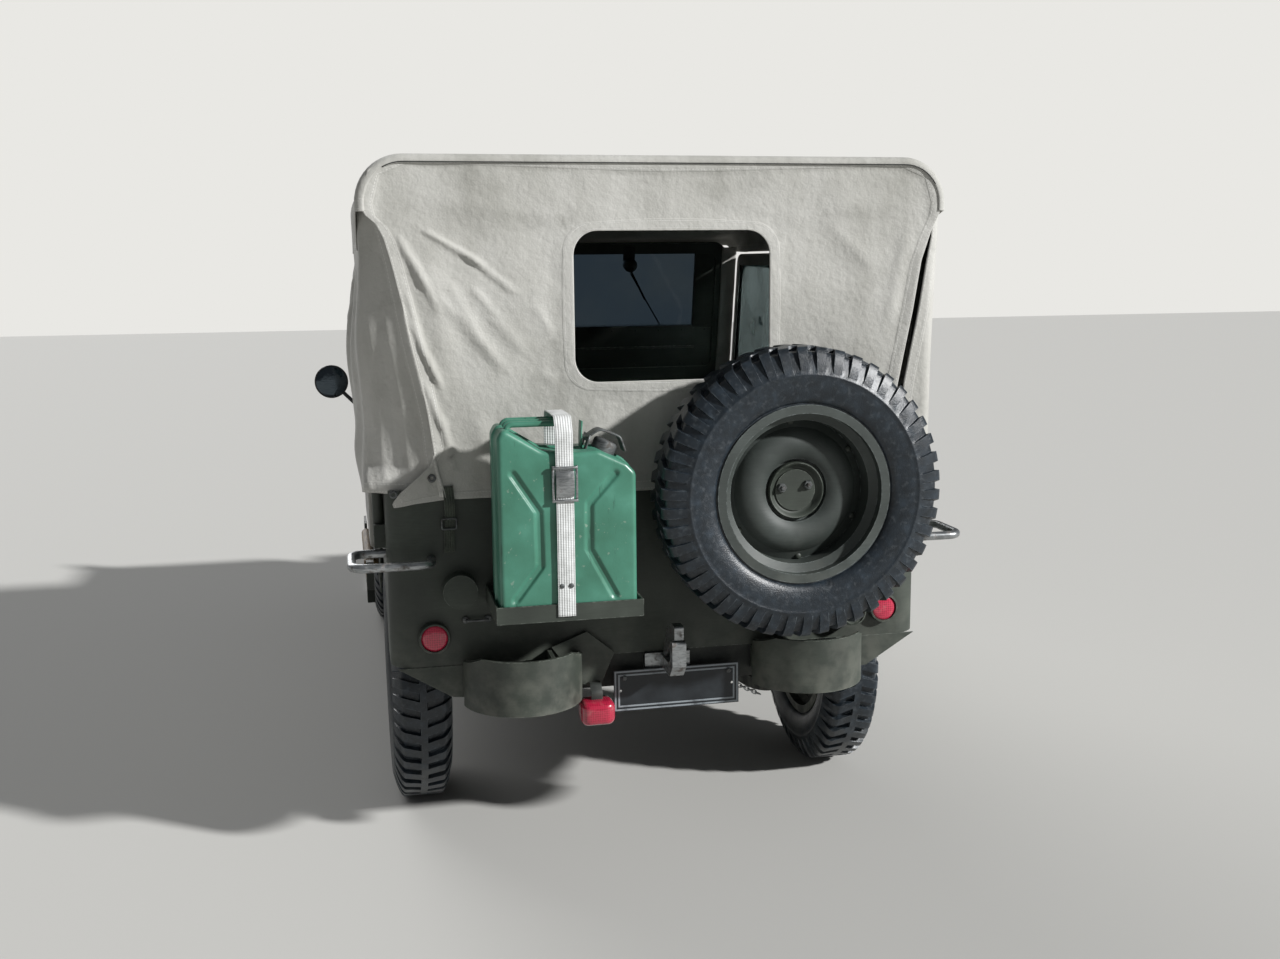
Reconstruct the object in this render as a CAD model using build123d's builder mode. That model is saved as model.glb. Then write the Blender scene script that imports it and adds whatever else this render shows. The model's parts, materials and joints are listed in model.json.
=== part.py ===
from build123d import *
from math import cos, hypot, radians, sin
import os

os.makedirs("parts", exist_ok=True)

# A small open army 4x4 with its canvas top, side doors and rear curtain fitted.
# All sizes are in millimetres. X is the car's right, Y is forward from the outer
# face of the tub's rear panel, and Z is up from the ground.

# Stance
wheelbase = 2032
track = 1245
rear_axle_y = 565
front_axle_y = rear_axle_y + wheelbase

# Tyres and wheels
tyre_radius = 362
tyre_width = 162
tyre_section = 158
bar_count = 46
bar_share = 0.54
bar_depth = 12
tread_width = tyre_width - 40
wall_sides = 23
wall_top = tyre_radius - 30
wall_bulge = tyre_radius - tyre_section / 2
bead_radius = tyre_radius - tyre_section
bead_rise = 4
rim_flange = bead_radius + 18
rim_width = tyre_width - 30
rim_wall = 4
well_depth = 20
well_half = 28
well_mouth = 40
disc_set = 20
disc_wall = 5
disc_bulge_radius = bead_radius - 48
crown_rise = 31
step_rise = 18
foot_rise = 4
foot_drop = 8
recess_radius = 80
crown_radius = (disc_bulge_radius + recess_radius) / 2
bore_radius = 54
hub_radius = 48
hub_reach = 52
hub_shoulder = 40
hub_nose = 24
drum_radius = 120
drum_depth = 43

# Tub
sheet = 4
floor_sheet = 6
tub_half = track / 2 + 85.5
inner_half = tub_half - sheet
tub_bottom = tyre_radius + 175
tub_top = tub_bottom + 451
floor_top = tub_bottom + floor_sheet
corner_radius = 65
rim_lip = 4
rim_tall = 16
rim_drop = 4
side_lip_out = 9
side_lip_rear = 290
arch_radius = tyre_radius + 58
arch_half = arch_radius - 20
wheelhouse_in = track / 2 - 172.5
wheelhouse_top = tyre_radius + arch_radius + 8
sill_bottom = tub_bottom - 37
sill_top = tub_bottom + 103
cowl_front = front_axle_y - 712
cowl_rear = cowl_front - 129
cowl_top = tub_top + 42
dash_bottom = cowl_top - 130
entry_front = cowl_rear - 66
entry_rear = entry_front - 650
entry_radius = 140
toe_board_top = tub_bottom + 163

# Frame
rail_half = track / 2 - 251.5
rail_width = 45
rail_wall = 5
rail_inner = rail_half - rail_wall
rail_rear = 12
rail_top = tub_bottom
rail_ramp = 200
rail_dip_rear = rear_axle_y + 135
rail_dip_front = cowl_front + 315
rail_deep = 117
rail_rear_depth = 90
rail_axle_depth = 82
rail_nose_depth = 67
member_length = 50
bumper_front = front_axle_y + 521
bumper_half = tub_half - 48
bumper_depth = 60
bumper_high = rail_top + 43
bumper_low = bumper_high - 150
crank_hole = 30
rail_front = bumper_front - rail_wall - 1
# the rail's underside from the rear: place along the car, height
rail_under = (
    (rail_rear, rail_top - rail_rear_depth),
    (rail_dip_rear, rail_top - rail_rear_depth),
    (rail_dip_rear + rail_ramp, rail_top - rail_deep),
    (rail_dip_front - rail_ramp, rail_top - rail_deep),
    (rail_dip_front, rail_top - rail_axle_depth),
    (rail_front, rail_top - rail_nose_depth),
)

# Front end
bonnet_gap = 6
fender_width = 258
grille_y = front_axle_y + 193
grille_half = tub_half - fender_width
grille_low = rail_top + 2
grille_top = cowl_top - 38
grille_radius = 60
grille_depth = 40
lamp_x = grille_half - 112
lamp_z = grille_low + 261
lamp_radius = 90
lamp_back = 70
lamp_proud = 10
marker_z = grille_low + 116
marker_radius = 30
marker_back = 45
marker_proud = 8
driving_radius = 55
driving_depth = 75
slot_count = 9
slot_pitch = (lamp_x - lamp_radius - 40) / (slot_count // 2)
slot_width = slot_pitch / 2
slot_low = grille_low + 36
slot_high = grille_top - 77
fender_top = cowl_top - 165
fender_inner = grille_half + 2
driving_x = fender_inner + 90
driving_z = fender_top + 85
fender_rear = cowl_front + 245
fender_front = front_axle_y + 368
driving_y = fender_front - 60
fender_step = 70
fender_bend = 50
fender_lip = 40
nose_run = 15
nose_drop = 75
apron_low = fender_top - 120
apron_cut = 100
bonnet_half_rear = grille_half + 80
bonnet_top_rear = cowl_top - 6
bonnet_low = fender_top + 6
bonnet_shoulder = grille_radius + 10
radiator_half = lamp_x - lamp_radius - 8
radiator_front = grille_y - 45
radiator_depth = 55
radiator_low = grille_low + 21
radiator_top = grille_top - 62

# Windscreen, leaning back from the cowl
screen_foot_y = cowl_front - 23
screen_top_y = screen_foot_y - 120
screen_foot_z = cowl_top + 6
screen_top_z = screen_foot_z + 576
screen_half = tub_half - 38
screen_hinge_x = screen_half - 110
screen_hinge_half = 20
screen_hinge_tall = 60
screen_depth = 26
screen_corner = 45
screen_border = 40
centre_bar = 40
glass_low = 100
glass_corner = 25
glass_thickness = 5

# Canvas top
canvas = 4
canvas_gap = 1
roof_half = tub_half + 42
roof_corner = 115
roof_front_y = screen_top_y + 18
roof_front_z = screen_top_z + 18
roof_front_half = roof_half - 28
roof_front_corner = 45
roof_top_bow = roof_front_z + 170
roof_top_rear = roof_top_bow - 10
roof_bow_y = rear_axle_y + 505
roof_rear_y = -14
valance_bottom = screen_top_z - 37
curtain_bottom = tub_top - 22
curtain_half_low = tub_half - 121
curtain_half_high = roof_half - 32
curtain_shoulder = roof_top_rear - 160
curtain_corner = 80
window_half = 250
window_high = roof_top_rear - 183
window_low = window_high - 350
window_radius = 60
quarter_bottom = tub_top - 3
quarter_top = valance_bottom + 25
quarter_corner = 50
quarter_front = roof_bow_y - 10
quarter_lap = 20
bow_radius = 14
bow_bend = roof_corner - 5
bow_leg = tub_half + bow_radius + 1
rear_bow_y = 50
front_bow_y = roof_bow_y - 20
bow_foot_y = 130
bow_foot_z = tub_top - 128
bow_top_gap = 3
bow_pad = 30

# Canvas doors
door_gap = 6
door_in = tub_half + 5
door_thick = 20
door_bottom = tub_bottom + 85
door_front = cowl_front - 40
door_rear = quarter_front + door_gap
door_knee_z = cowl_top + 30
door_head_y = screen_top_y - 4
door_radius = 40
door_window_rear = quarter_front + 100
door_window_front = door_front - 80
door_window_lean = 60
door_window_low = door_knee_z + 67
door_window_high = valance_bottom - 57
door_window_radius = 70
pane = 3

# What hangs on the rear panel
spare_x = tub_half - 410
can_spare_gap = 53.5
spare_y = -(tyre_width / 2 + 80)
spare_z = tub_top - 14
can_width = 345
can_x = spare_x - tyre_radius - can_width / 2 - can_spare_gap
can_depth = 165
can_back = -70
can_floor = tub_bottom + 167
can_height = 430
can_corner = 22
can_edge = 10
can_side = can_width / 2 - 6
rib_width = 16
rib_depth = 5
handle_rise = 35
handle_half = 75
handle_shift = -65
handle_sunk = 80
handle_pitch = 42.5
handle_radius = 7
handle_bend = 16
cap_x = can_x + 98
cap_radius = 30
# the can's sloping top from left to right: place across, height under the shoulder
can_slope = ((-can_side, 0), (-can_side + 14, -26), (-60, 25), (30, 32), (72, 28),
             (can_side - 24, 62), (can_side, 86))
# each pressed rib, from the can's middle: three points across and their heights
can_ribs = (
    ((-130, 352), (-72, 262), (-70, 130), (-130, 52)),
    ((112, 345), (49, 276), (48, 165), (108, 52)),
)
tray_sheet = 4
tray_lip = 38
tray_gap = 1
tray_brace_half = 60
strap_width = 45
strap_thick = 4
strap_rise = 9
strap_gap = 1
strap_anchor_z = can_floor + 196
grab_outer = tub_half + 98
grab_tube = 11
grab_stand = 62
grab_bend = 35
grab_z = tub_top - 173
grab_root_x = tub_half - 108
grab_root_y = 105
bumperette_x = rail_half + 9
bumperette_half = 152
bumperette_foot = -20
bumperette_back = -150
bumperette_low = rail_top - 100
bumperette_high = rail_top + 40
bumperette_sheet = 8
corner_cut = 30
ear_shift = 70
ear_back = -90
ear_front = -1
ear_sheet = 10
ear_hole = 14
bracket_low = rail_top - 67
bracket_tall = 60
pintle_back = -140
pintle_half = 18
latch_half = 12
pintle_low = rail_top - 35
pintle_high = rail_top + 100
plate_x = 22
plate_width = 336
plate_height = 110
plate_sheet = 3
plate_z = rail_top - 94
plate_y = -25
plate_bolts = 300
plate_clip = 120
plate_hole = 3.5
reflector_x = tub_half - 108
reflector_z = tub_bottom + 78
reflector_radius = 40
reflector_depth = 22
tail_x = reflector_x - 97
tail_radius = 36
tail_depth = 50
lens_rim = 5
lens_sunk = 6
low_lamp_x = -195.5
low_lamp_y = -16
low_lamp_z = rail_top - 133.5
low_lamp_width = 88
low_lamp_height = 62
low_lamp_round = 18
low_lamp_depth = 66
low_lamp_hang = rail_top - 77
socket_x = -(tub_half - 174)
socket_z = tub_bottom + 200
socket_radius = 43
socket_depth = 45

# Mirror
mirror_x = -(tub_half + 131)
mirror_y = cowl_front + 20
mirror_z = cowl_top + 75
mirror_radius = 62
mirror_depth = 22
mirror_arm = 7
mirror_foot_z = cowl_top - 50

# Axles and springs
axle_tube = 32
diff_x = 150
diff_radius = 112
pinion_radius = 30
pinion_reach = 160
front_pinion_reach = 130
shaft_gap = 3
shaft_radius = 25
spring_top = tyre_radius - 37
spring_pack = 40
spring_eye = 395
spring_leaf = 12
spring_pad_half = 30
spring_reach_rear = 530
spring_reach_front = 430
shackle_half = 15

# Steering
kingpin_x = track / 2 - 102.5
backing_x = track / 2 - 72.5
ball_radius = 56
knuckle_gap = 5
knuckle_wall = 7
boss_radius = 24
arm_length = 140
arm_offset = 20
arm_width = 34
arm_thick = 14
arm_z = tyre_radius + 69
track_rod_radius = 12
track_rod_gap = 7
wheel_dia = 438
wheel_grip = 11
wheel_gap = 5
boss_depth = 60
spoke_width = 22
spoke_thick = 8
steering_x = -(tub_half - 338)
steering_y = cowl_rear - 226
steering_z = cowl_top + 125
column_angle = 40
column_radius = 20
column_gap = 6
column_length = 880

# Engine, drive, exhaust and tank
engine_half = 160
engine_rear = front_axle_y - 607
engine_length = 550
engine_low = rail_top - 12
engine_top = bonnet_low + 29
gearbox_half = 110
gearbox_rear = engine_rear - 430
gearbox_top = engine_low + 3
shaft_z = tyre_radius + 38
transfer_length = 160
transfer_drop = 60
pipe_x = engine_half + 55
pipe_radius = 20
pipe_bend = 30
muffler_x = tub_half - 188
muffler_z = rail_top - 107
muffler_rear = rear_axle_y + 585
muffler_length = 450
muffler_radius = 62
tail_pipe_radius = 18
tank_out = tub_half - 58
tank_width = 250
tank_rear = rear_axle_y + tyre_radius + 123
tank_length = 400
tank_low = rail_top - 107

# Seats
seat_x = tub_half - 338
seat_half = 205
seat_rear = rear_axle_y + arch_half
seat_length = 430
seat_front = seat_rear + seat_length
seat_tube = 12
seat_rise = 182
seat_back_top = 577
seat_bend = 40
pad_half = 185
pad_thick = 65
pad_back_thick = 45
pad_round = 15
bench_half = wheelhouse_in - 20
bench_front = rear_axle_y + 135
bench_rear = rear_axle_y - 235
bench_back_top = 457
bench_pad_half = bench_half - 25

# Tools on the left side
tool_x = -(tub_half + 30)
shovel_z = tub_bottom + 43
shovel_rear = quarter_front
shovel_shaft = 500
shovel_shaft_radius = 17
shovel_blade = 260
shovel_blade_low = 75
shovel_blade_high = 32
shovel_blade_half = 8
axe_z = tub_bottom - 7
axe_rear = shovel_rear - 95
axe_head = 60
axe_head_low = 60
axe_head_high = 70
axe_head_half = 12
axe_shaft = 530
axe_shaft_radius = 13
clip_length = 30

# The origin is under the middle of the car's whole box, which the mirror and a
# grab handle bound at the sides, and the spare tyre and the bumper at the ends.
origin_x = (grab_outer + mirror_x - mirror_radius) / 2
origin_y = (bumper_front + spare_y - tyre_width / 2) / 2


def level(z):
    # a horizontal plane at this height, with X and Y as its own axes
    return Plane(origin=(-origin_x, -origin_y, z), x_dir=(1, 0, 0), z_dir=(0, 0, 1))


def across(y):
    # an upright plane across the car, with X and Z as its own axes, facing rearward
    return Plane(origin=(-origin_x, y - origin_y, 0), x_dir=(1, 0, 0), z_dir=(0, -1, 0))


def side(x):
    # an upright plane along the car, with Y and Z as its own axes, facing right
    return Plane(origin=(x - origin_x, -origin_y, 0), x_dir=(0, 1, 0), z_dir=(1, 0, 0))


ground = level(0)


def block(x, y, z, mode=Mode.ADD):
    # a box given by its two limits along each axis
    with Locations(((x[0] + x[1]) / 2, (y[0] + y[1]) / 2, (z[0] + z[1]) / 2)):
        return Box(x[1] - x[0], y[1] - y[0], z[1] - z[0], mode=mode)


def rod(start, end, radius, mode=Mode.ADD):
    # a round bar between two points
    with BuildLine(ground):
        path = Line(start, end)
    with BuildSketch(Plane(origin=path @ 0, z_dir=path % 0)) as section:
        Circle(radius)
    return extrude(section.sketch, amount=path.length, mode=mode)


def tube(points, bend, radius):
    # a round bar along straight runs joined by arcs
    with BuildLine(ground):
        path = FilletPolyline(*points, radius=bend)
    with BuildSketch(Plane(origin=path @ 0, z_dir=path % 0)) as section:
        Circle(radius)
    return sweep(section.sketch, path=path)


def keep(piece, name):
    piece.label = name
    export_step(piece, f"parts/{name}.step")


# Frame: two channel rails, open inward, with cross members between them
def rail_outline():
    with BuildLine(Plane.XY) as outline:
        Polyline(*rail_under, (rail_front, rail_top), (rail_rear, rail_top), close=True)
    make_face(outline.edges())


def under_rail(y):
    # the height of the rail's underside at one place along the car
    for (y0, z0), (y1, z1) in zip(rail_under, rail_under[1:]):
        if y0 <= y <= y1:
            return z0 + (z1 - z0) * (y - y0) / (y1 - y0)
    return rail_under[-1][1]


# cross members, rear to front: rear face, underside and top, both below the rail's top
members = (
    (rail_rear, rail_rear_depth, 0),
    (rear_axle_y - 235, 77, 17),
    (rear_axle_y + 555, 97, 37),
    (front_axle_y + 183, 67, 12),
    (front_axle_y + 403, 57, 7),
)

with BuildPart(ground) as frame_rails:
    with BuildSketch(side(rail_half)):
        rail_outline()
    extrude(amount=-rail_width)
    with BuildSketch(side(rail_inner)):
        rail_outline()
        offset(amount=-rail_wall, mode=Mode.REPLACE)
    extrude(amount=-rail_width, mode=Mode.SUBTRACT)
    mirror(about=side(0))
    for rear, low, high in members:
        block((-rail_inner, rail_inner), (rear, rear + member_length),
              (rail_top - low, rail_top - high))
keep(frame_rails.part, "frame_rails")

with BuildPart(ground) as front_bumper:
    block((-bumper_half, bumper_half), (bumper_front - bumper_depth, bumper_front),
          (bumper_low, bumper_high))
    block((-bumper_half, bumper_half),
          (bumper_front - bumper_depth, bumper_front - rail_wall),
          (bumper_low + rail_wall, bumper_high - rail_wall), mode=Mode.SUBTRACT)
    with BuildSketch(across(bumper_front)):
        with Locations((0, (bumper_low + bumper_high) / 2)):
            Circle(crank_hole)
    extrude(amount=bumper_depth, mode=Mode.SUBTRACT)
keep(front_bumper.part, "front_bumper")

# Tub: floor with toe board, wheelhouses, sides, rear panel and cowl
arch_y = (rear_axle_y - arch_half, rear_axle_y + arch_half)

with BuildPart(ground) as floor:
    block((-inner_half, inner_half), (sheet, cowl_front - sheet), (tub_bottom, floor_top))
    fillet(floor.edges().filter_by(Axis.Z).group_by(Axis.Y)[0], corner_radius - sheet)
    for end in (-1, 1):
        edge = sorted((end * wheelhouse_in, end * (inner_half + 1)))
        block(edge, arch_y, (tub_bottom, floor_top), mode=Mode.SUBTRACT)
    with BuildSketch(side(-inner_half)):
        with BuildLine():
            Polyline(
                (entry_front, floor_top), (cowl_front - sheet, toe_board_top),
                (cowl_front - sheet, toe_board_top + floor_sheet),
                (entry_front - 2 * floor_sheet, floor_top), close=True,
            )
        make_face()
    extrude(amount=2 * inner_half)
keep(floor.part, "floor")

with BuildPart(ground) as wheelhouses:
    for end in (-1, 1):
        outer = sorted((end * wheelhouse_in, end * inner_half))
        inner = sorted((end * (wheelhouse_in + sheet), end * (inner_half + 1)))
        block(outer, arch_y, (tub_bottom, wheelhouse_top))
        block(inner, (arch_y[0] + sheet, arch_y[1] - sheet),
              (tub_bottom - 1, wheelhouse_top - sheet), mode=Mode.SUBTRACT)
keep(wheelhouses.part, "wheelhouses")

with BuildPart(ground) as side_panels:
    entry_tall = 2 * (tub_top - sill_top)
    with BuildSketch(side(inner_half)):
        with BuildLine():
            Polyline(
                (corner_radius, tub_bottom), (rear_axle_y, tub_bottom),
                (rear_axle_y, sill_bottom), (cowl_front, sill_bottom),
                (cowl_front, cowl_top), (entry_front, cowl_top),
                (entry_front, tub_top), (corner_radius, tub_top), close=True,
            )
        make_face()
        with Locations((rear_axle_y, tyre_radius)):
            Circle(arch_radius, mode=Mode.SUBTRACT)
        with Locations(((entry_rear + entry_front) / 2, sill_top + entry_tall / 2)):
            RectangleRounded(entry_front - entry_rear, entry_tall, entry_radius,
                             mode=Mode.SUBTRACT)
    extrude(amount=sheet)
    block((tub_half, tub_half + side_lip_out), (side_lip_rear, entry_rear),
          (tub_top - rim_tall, tub_top))
    mirror(about=side(0))
keep(side_panels.part, "side_panels")

with BuildPart(ground) as rear_panel:
    with BuildSketch(level(tub_bottom)):
        with Locations((0, 2 * corner_radius)):
            RectangleRounded(2 * tub_half, 4 * corner_radius, corner_radius)
            RectangleRounded(2 * inner_half, 4 * corner_radius - 2 * sheet,
                             corner_radius - sheet, mode=Mode.SUBTRACT)
        with Locations((0, 3 * corner_radius)):
            Rectangle(2 * tub_half + 2, 4 * corner_radius, mode=Mode.SUBTRACT)
    extrude(amount=tub_top - tub_bottom)
    lip_half = tub_half - corner_radius
    block((-lip_half, lip_half), (-rim_lip, 0),
          (tub_top - rim_drop - rim_tall, tub_top - rim_drop))
keep(rear_panel.part, "rear_panel")

column_rise = sin(radians(column_angle))
column_run = cos(radians(column_angle))


def on_column(distance):
    # a point on the steering column, measured down from the steering wheel's centre
    return (steering_x, steering_y + distance * column_run,
            steering_z - distance * column_rise)


with BuildPart(ground) as cowl:
    block((-inner_half, inner_half), (cowl_rear, cowl_front), (cowl_top - sheet, cowl_top))
    block((-inner_half, inner_half), (cowl_rear, cowl_rear + sheet),
          (dash_bottom, cowl_top))
    block((-inner_half, inner_half), (cowl_front - sheet, cowl_front),
          (floor_top, cowl_top))
    rod(on_column(0), on_column(column_length), column_radius + column_gap,
        mode=Mode.SUBTRACT)
keep(cowl.part, "cowl")

# Front end: fenders, grille, radiator, lamps and bonnet
with BuildPart(ground) as fenders:
    with BuildSketch(side(fender_inner)):
        with BuildLine():
            FilletPolyline(
                (cowl_front + 1, tub_bottom), (cowl_front + fender_step, tub_bottom),
                (fender_rear, fender_top), (fender_front, fender_top),
                (fender_front + nose_run, fender_top - nose_drop), radius=fender_bend,
            )
            offset(amount=sheet, side=Side.RIGHT)
        make_face()
    extrude(amount=tub_half - fender_inner)
    block((inner_half, tub_half), (fender_rear + 10, fender_front - 60),
          (fender_top - fender_lip, fender_top - 1))
    # the inner apron closes the engine bay, and is cut away over the steered tyre
    with BuildSketch(side(fender_inner)):
        with BuildLine():
            Polyline(
                (cowl_front + 1, tub_bottom + 8), (fender_rear - 10, tub_bottom + 8),
                (fender_rear + apron_cut, apron_low), (grille_y - grille_depth, apron_low),
                (grille_y - grille_depth, fender_top - 1), (cowl_front + 1, fender_top - 1),
                close=True,
            )
        make_face()
    extrude(amount=sheet)
    mirror(about=side(0))
keep(fenders.part, "fenders")

grille_mid = (grille_low + grille_top) / 2
grille_tall = grille_top - grille_low

with BuildPart(ground) as grille:
    with BuildSketch(across(grille_y + sheet)):
        with Locations((0, grille_mid)):
            RectangleRounded(2 * grille_half, grille_tall, grille_radius)
    extrude(amount=grille_depth + sheet)
    with BuildSketch(across(grille_y)):
        with Locations((0, grille_mid)):
            RectangleRounded(2 * (grille_half - sheet), grille_tall - 2 * sheet,
                             grille_radius - sheet)
    extrude(amount=grille_depth, mode=Mode.SUBTRACT)
    with BuildSketch(across(grille_y + sheet)):
        with Locations((0, (slot_low + slot_high) / 2)):
            with GridLocations(slot_pitch, 1, slot_count, 1):
                SlotOverall(slot_high - slot_low, slot_width, rotation=90)
        for end in (-1, 1):
            with Locations((end * lamp_x, lamp_z)):
                Circle(lamp_radius + sheet)
            with Locations((end * lamp_x, marker_z)):
                Circle(marker_radius + sheet / 2)
    extrude(amount=2 * sheet, mode=Mode.SUBTRACT)
keep(grille.part, "grille")

with BuildPart(ground) as radiator:
    block((-radiator_half, radiator_half), (radiator_front - radiator_depth, radiator_front),
          (radiator_low, radiator_top))
keep(radiator.part, "radiator")


def lamp_profile(x, z, radius, back, front):
    # a round lamp facing forward: a bowl behind, a rim, and a lens that swells a little
    bowl = side(x)
    dome = radius / 6
    with BuildSketch(bowl) as section:
        with BuildLine() as outline:
            Polyline((back, z), (back, z + radius * 0.6),
                     (back + (front - back) * 0.5, z + radius), (front - dome, z + radius),
                     (front - dome, z + radius * 0.94), (front - dome * 0.4, z + radius * 0.66),
                     (front, z + radius * 0.3), (front, z), close=True)
        make_face(outline.edges())
    revolve(section.sketch, axis=Axis(bowl.from_local_coords((0, z, 0)), bowl.x_dir))


with BuildPart(ground) as headlamps:
    # centre height, radius, how far it reaches behind and before the grille's face
    for height, radius, back, front in (
            (lamp_z, lamp_radius, lamp_back, lamp_proud),
            (marker_z, marker_radius, marker_back, marker_proud)):
        for end in (-1, 1):
            lens = grille_y + sheet + front
            lamp_profile(end * lamp_x, height, radius, lens - back - front, lens)
    lamp_profile(-driving_x, driving_z, driving_radius, driving_y - driving_depth, driving_y)
    rod((-driving_x, driving_y - driving_depth / 2, fender_top + 1),
        (-driving_x, driving_y - driving_depth / 2, driving_z), 12)
    block((-driving_x - 30, -driving_x + 30), (driving_y - driving_depth - 10, driving_y),
          (fender_top, fender_top + sheet))
keep(headlamps.part, "headlamps")

bonnet_rear = cowl_front + bonnet_gap
bonnet_front = grille_y - grille_depth - bonnet_gap


def arch_section(half, top, radius, low):
    # a flat-topped arch with round shoulders, closed along its foot
    with BuildLine(Plane.XY) as outline:
        FilletPolyline((-half, low), (-half, top), (half, top), (half, low),
                       radius=radius)
        Line((half, low), (-half, low))
    make_face(outline.edges())


with BuildPart(ground) as bonnet:
    for shrink, low, mode in ((0, bonnet_low, Mode.ADD),
                              (sheet, bonnet_low - bonnet_gap, Mode.SUBTRACT)):
        with BuildSketch(across(bonnet_rear)):
            arch_section(bonnet_half_rear - shrink, bonnet_top_rear - shrink,
                         bonnet_shoulder - shrink, low)
        with BuildSketch(across(bonnet_front)):
            arch_section(grille_half - shrink, grille_top - shrink,
                         grille_radius - shrink, low)
        loft(ruled=True, mode=mode)
keep(bonnet.part, "bonnet")

# Windscreen on a leaning plane, measured up its slope from its foot
screen_height = hypot(screen_foot_y - screen_top_y, screen_top_z - screen_foot_z)
screen_plane = Plane(
    origin=(-origin_x, screen_foot_y - origin_y, screen_foot_z),
    x_dir=(1, 0, 0),
    z_dir=(0, screen_foot_z - screen_top_z, screen_top_y - screen_foot_y),
)
glass_width = screen_half - screen_border - centre_bar / 2
glass_height = screen_height - screen_border - glass_low
glass_x = centre_bar / 2 + glass_width / 2
glass_z = glass_low + glass_height / 2

with BuildPart(screen_plane) as windscreen_frame:
    with BuildSketch(screen_plane):
        with Locations((0, screen_height / 2)):
            RectangleRounded(2 * screen_half, screen_height, screen_corner)
        with Locations((-glass_x, glass_z), (glass_x, glass_z)):
            RectangleRounded(glass_width, glass_height, glass_corner, mode=Mode.SUBTRACT)
    extrude(amount=screen_depth / 2, both=True)
    for end in (-1, 1):
        with BuildSketch(side(end * screen_hinge_x)):
            with BuildLine():
                Polyline(
                    (screen_foot_y - 14, cowl_top), (screen_foot_y + 20, cowl_top),
                    (screen_foot_y + 8, cowl_top + screen_hinge_tall),
                    (screen_foot_y - 14, cowl_top + screen_hinge_tall), close=True,
                )
            make_face()
        extrude(amount=screen_hinge_half, both=True)
keep(windscreen_frame.part, "windscreen_frame")

with BuildPart(screen_plane) as windscreen_glass:
    with BuildSketch(screen_plane):
        with Locations((-glass_x, glass_z), (glass_x, glass_z)):
            RectangleRounded(glass_width, glass_height, glass_corner)
    extrude(amount=glass_thickness / 2, both=True)
keep(windscreen_glass.part, "windscreen_glass")


# Canvas top: roof, bows, rear curtain and quarter curtains
with BuildPart(ground) as canvas_roof:
    for shrink, low, mode in ((0, valance_bottom, Mode.ADD),
                              (canvas, valance_bottom - roof_corner / 2, Mode.SUBTRACT)):
        # place along the car, half width, top and corner radius of each section
        for y, half, top, radius in (
                (roof_rear_y, roof_half, roof_top_rear, roof_corner),
                (roof_bow_y, roof_half, roof_top_bow, roof_corner),
                (roof_front_y, roof_front_half, roof_front_z, roof_front_corner)):
            with BuildSketch(across(y)):
                arch_section(half - shrink, top - shrink, radius - shrink, low)
        loft(ruled=True, mode=mode)
keep(canvas_roof.part, "canvas_roof")

quarter_half = roof_half - canvas - canvas_gap
quarter_rear = -canvas_gap - canvas
curtain_rear = quarter_rear - canvas_gap - canvas
curtain_top = roof_top_rear - canvas - canvas_gap

with BuildPart(ground) as rear_curtain:
    with BuildSketch(across(curtain_rear + canvas)):
        with BuildLine():
            FilletPolyline(
                (-curtain_half_low, curtain_bottom), (-curtain_half_high, curtain_shoulder),
                (-curtain_half_high, curtain_top), (curtain_half_high, curtain_top),
                (curtain_half_high, curtain_shoulder), (curtain_half_low, curtain_bottom),
                radius=curtain_corner,
            )
            Line((curtain_half_low, curtain_bottom), (-curtain_half_low, curtain_bottom))
        make_face()
        with Locations((0, (window_low + window_high) / 2)):
            RectangleRounded(2 * window_half, window_high - window_low, window_radius,
                             mode=Mode.SUBTRACT)
    extrude(amount=canvas)
keep(rear_curtain.part, "rear_curtain")

with BuildPart(ground) as quarter_curtains:
    with BuildSketch(level(quarter_bottom)):
        with BuildLine():
            FilletPolyline(
                (curtain_half_low - quarter_lap, quarter_rear), (quarter_half, quarter_rear),
                (quarter_half, quarter_front), radius=quarter_corner,
            )
            offset(amount=canvas, side=Side.LEFT)
        make_face()
    extrude(amount=quarter_top - quarter_bottom)
    mirror(about=side(0))
keep(quarter_curtains.part, "quarter_curtains")

bow_drop = canvas + bow_top_gap + bow_radius

with BuildPart(ground) as top_bows:
    # lean of each bow: its top's place, forward and up
    for top_y, top_z in ((rear_bow_y, roof_top_rear - bow_drop),
                         (front_bow_y, roof_top_bow - bow_drop)):
        tube([(-bow_leg, bow_foot_y, bow_foot_z), (-bow_leg, top_y, top_z),
              (bow_leg, top_y, top_z), (bow_leg, bow_foot_y, bow_foot_z)],
             bow_bend, bow_radius)
    for end in (-1, 1):
        edge = sorted((end * tub_half, end * (tub_half + 2 * bow_radius)))
        block(edge, (bow_foot_y - bow_pad, bow_foot_y + bow_pad),
              (bow_foot_z - bow_pad, bow_foot_z + bow_pad))
keep(top_bows.part, "top_bows")


# Canvas doors on a tube frame, each with a clear window
def door_window():
    with BuildLine(Plane.XY) as outline:
        FilletPolyline(
            (door_window_rear, door_window_low), (door_window_front, door_window_low),
            (door_window_front - door_window_lean, door_window_high),
            (door_window_rear, door_window_high), radius=door_window_radius, close=True,
        )
    return outline.edges()


def make_door(hand):
    near, far = sorted((hand * door_in, hand * (door_in + door_thick)))
    mid = (near + far) / 2
    with BuildPart(ground) as door:
        with BuildSketch(side(near)):
            with BuildLine():
                FilletPolyline(
                    (door_rear, door_bottom), (door_front, door_bottom),
                    (door_front, door_knee_z), (door_head_y, valance_bottom - door_gap),
                    (door_rear, valance_bottom - door_gap),
                    radius=door_radius, close=True,
                )
            make_face()
            make_face(door_window(), mode=Mode.SUBTRACT)
        extrude(amount=door_thick)
        with BuildSketch(side(mid - pane / 2)):
            make_face(door_window())
        extrude(amount=pane)
    return door.part


keep(make_door(-1), "door_left")
keep(make_door(1), "door_right")


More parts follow.
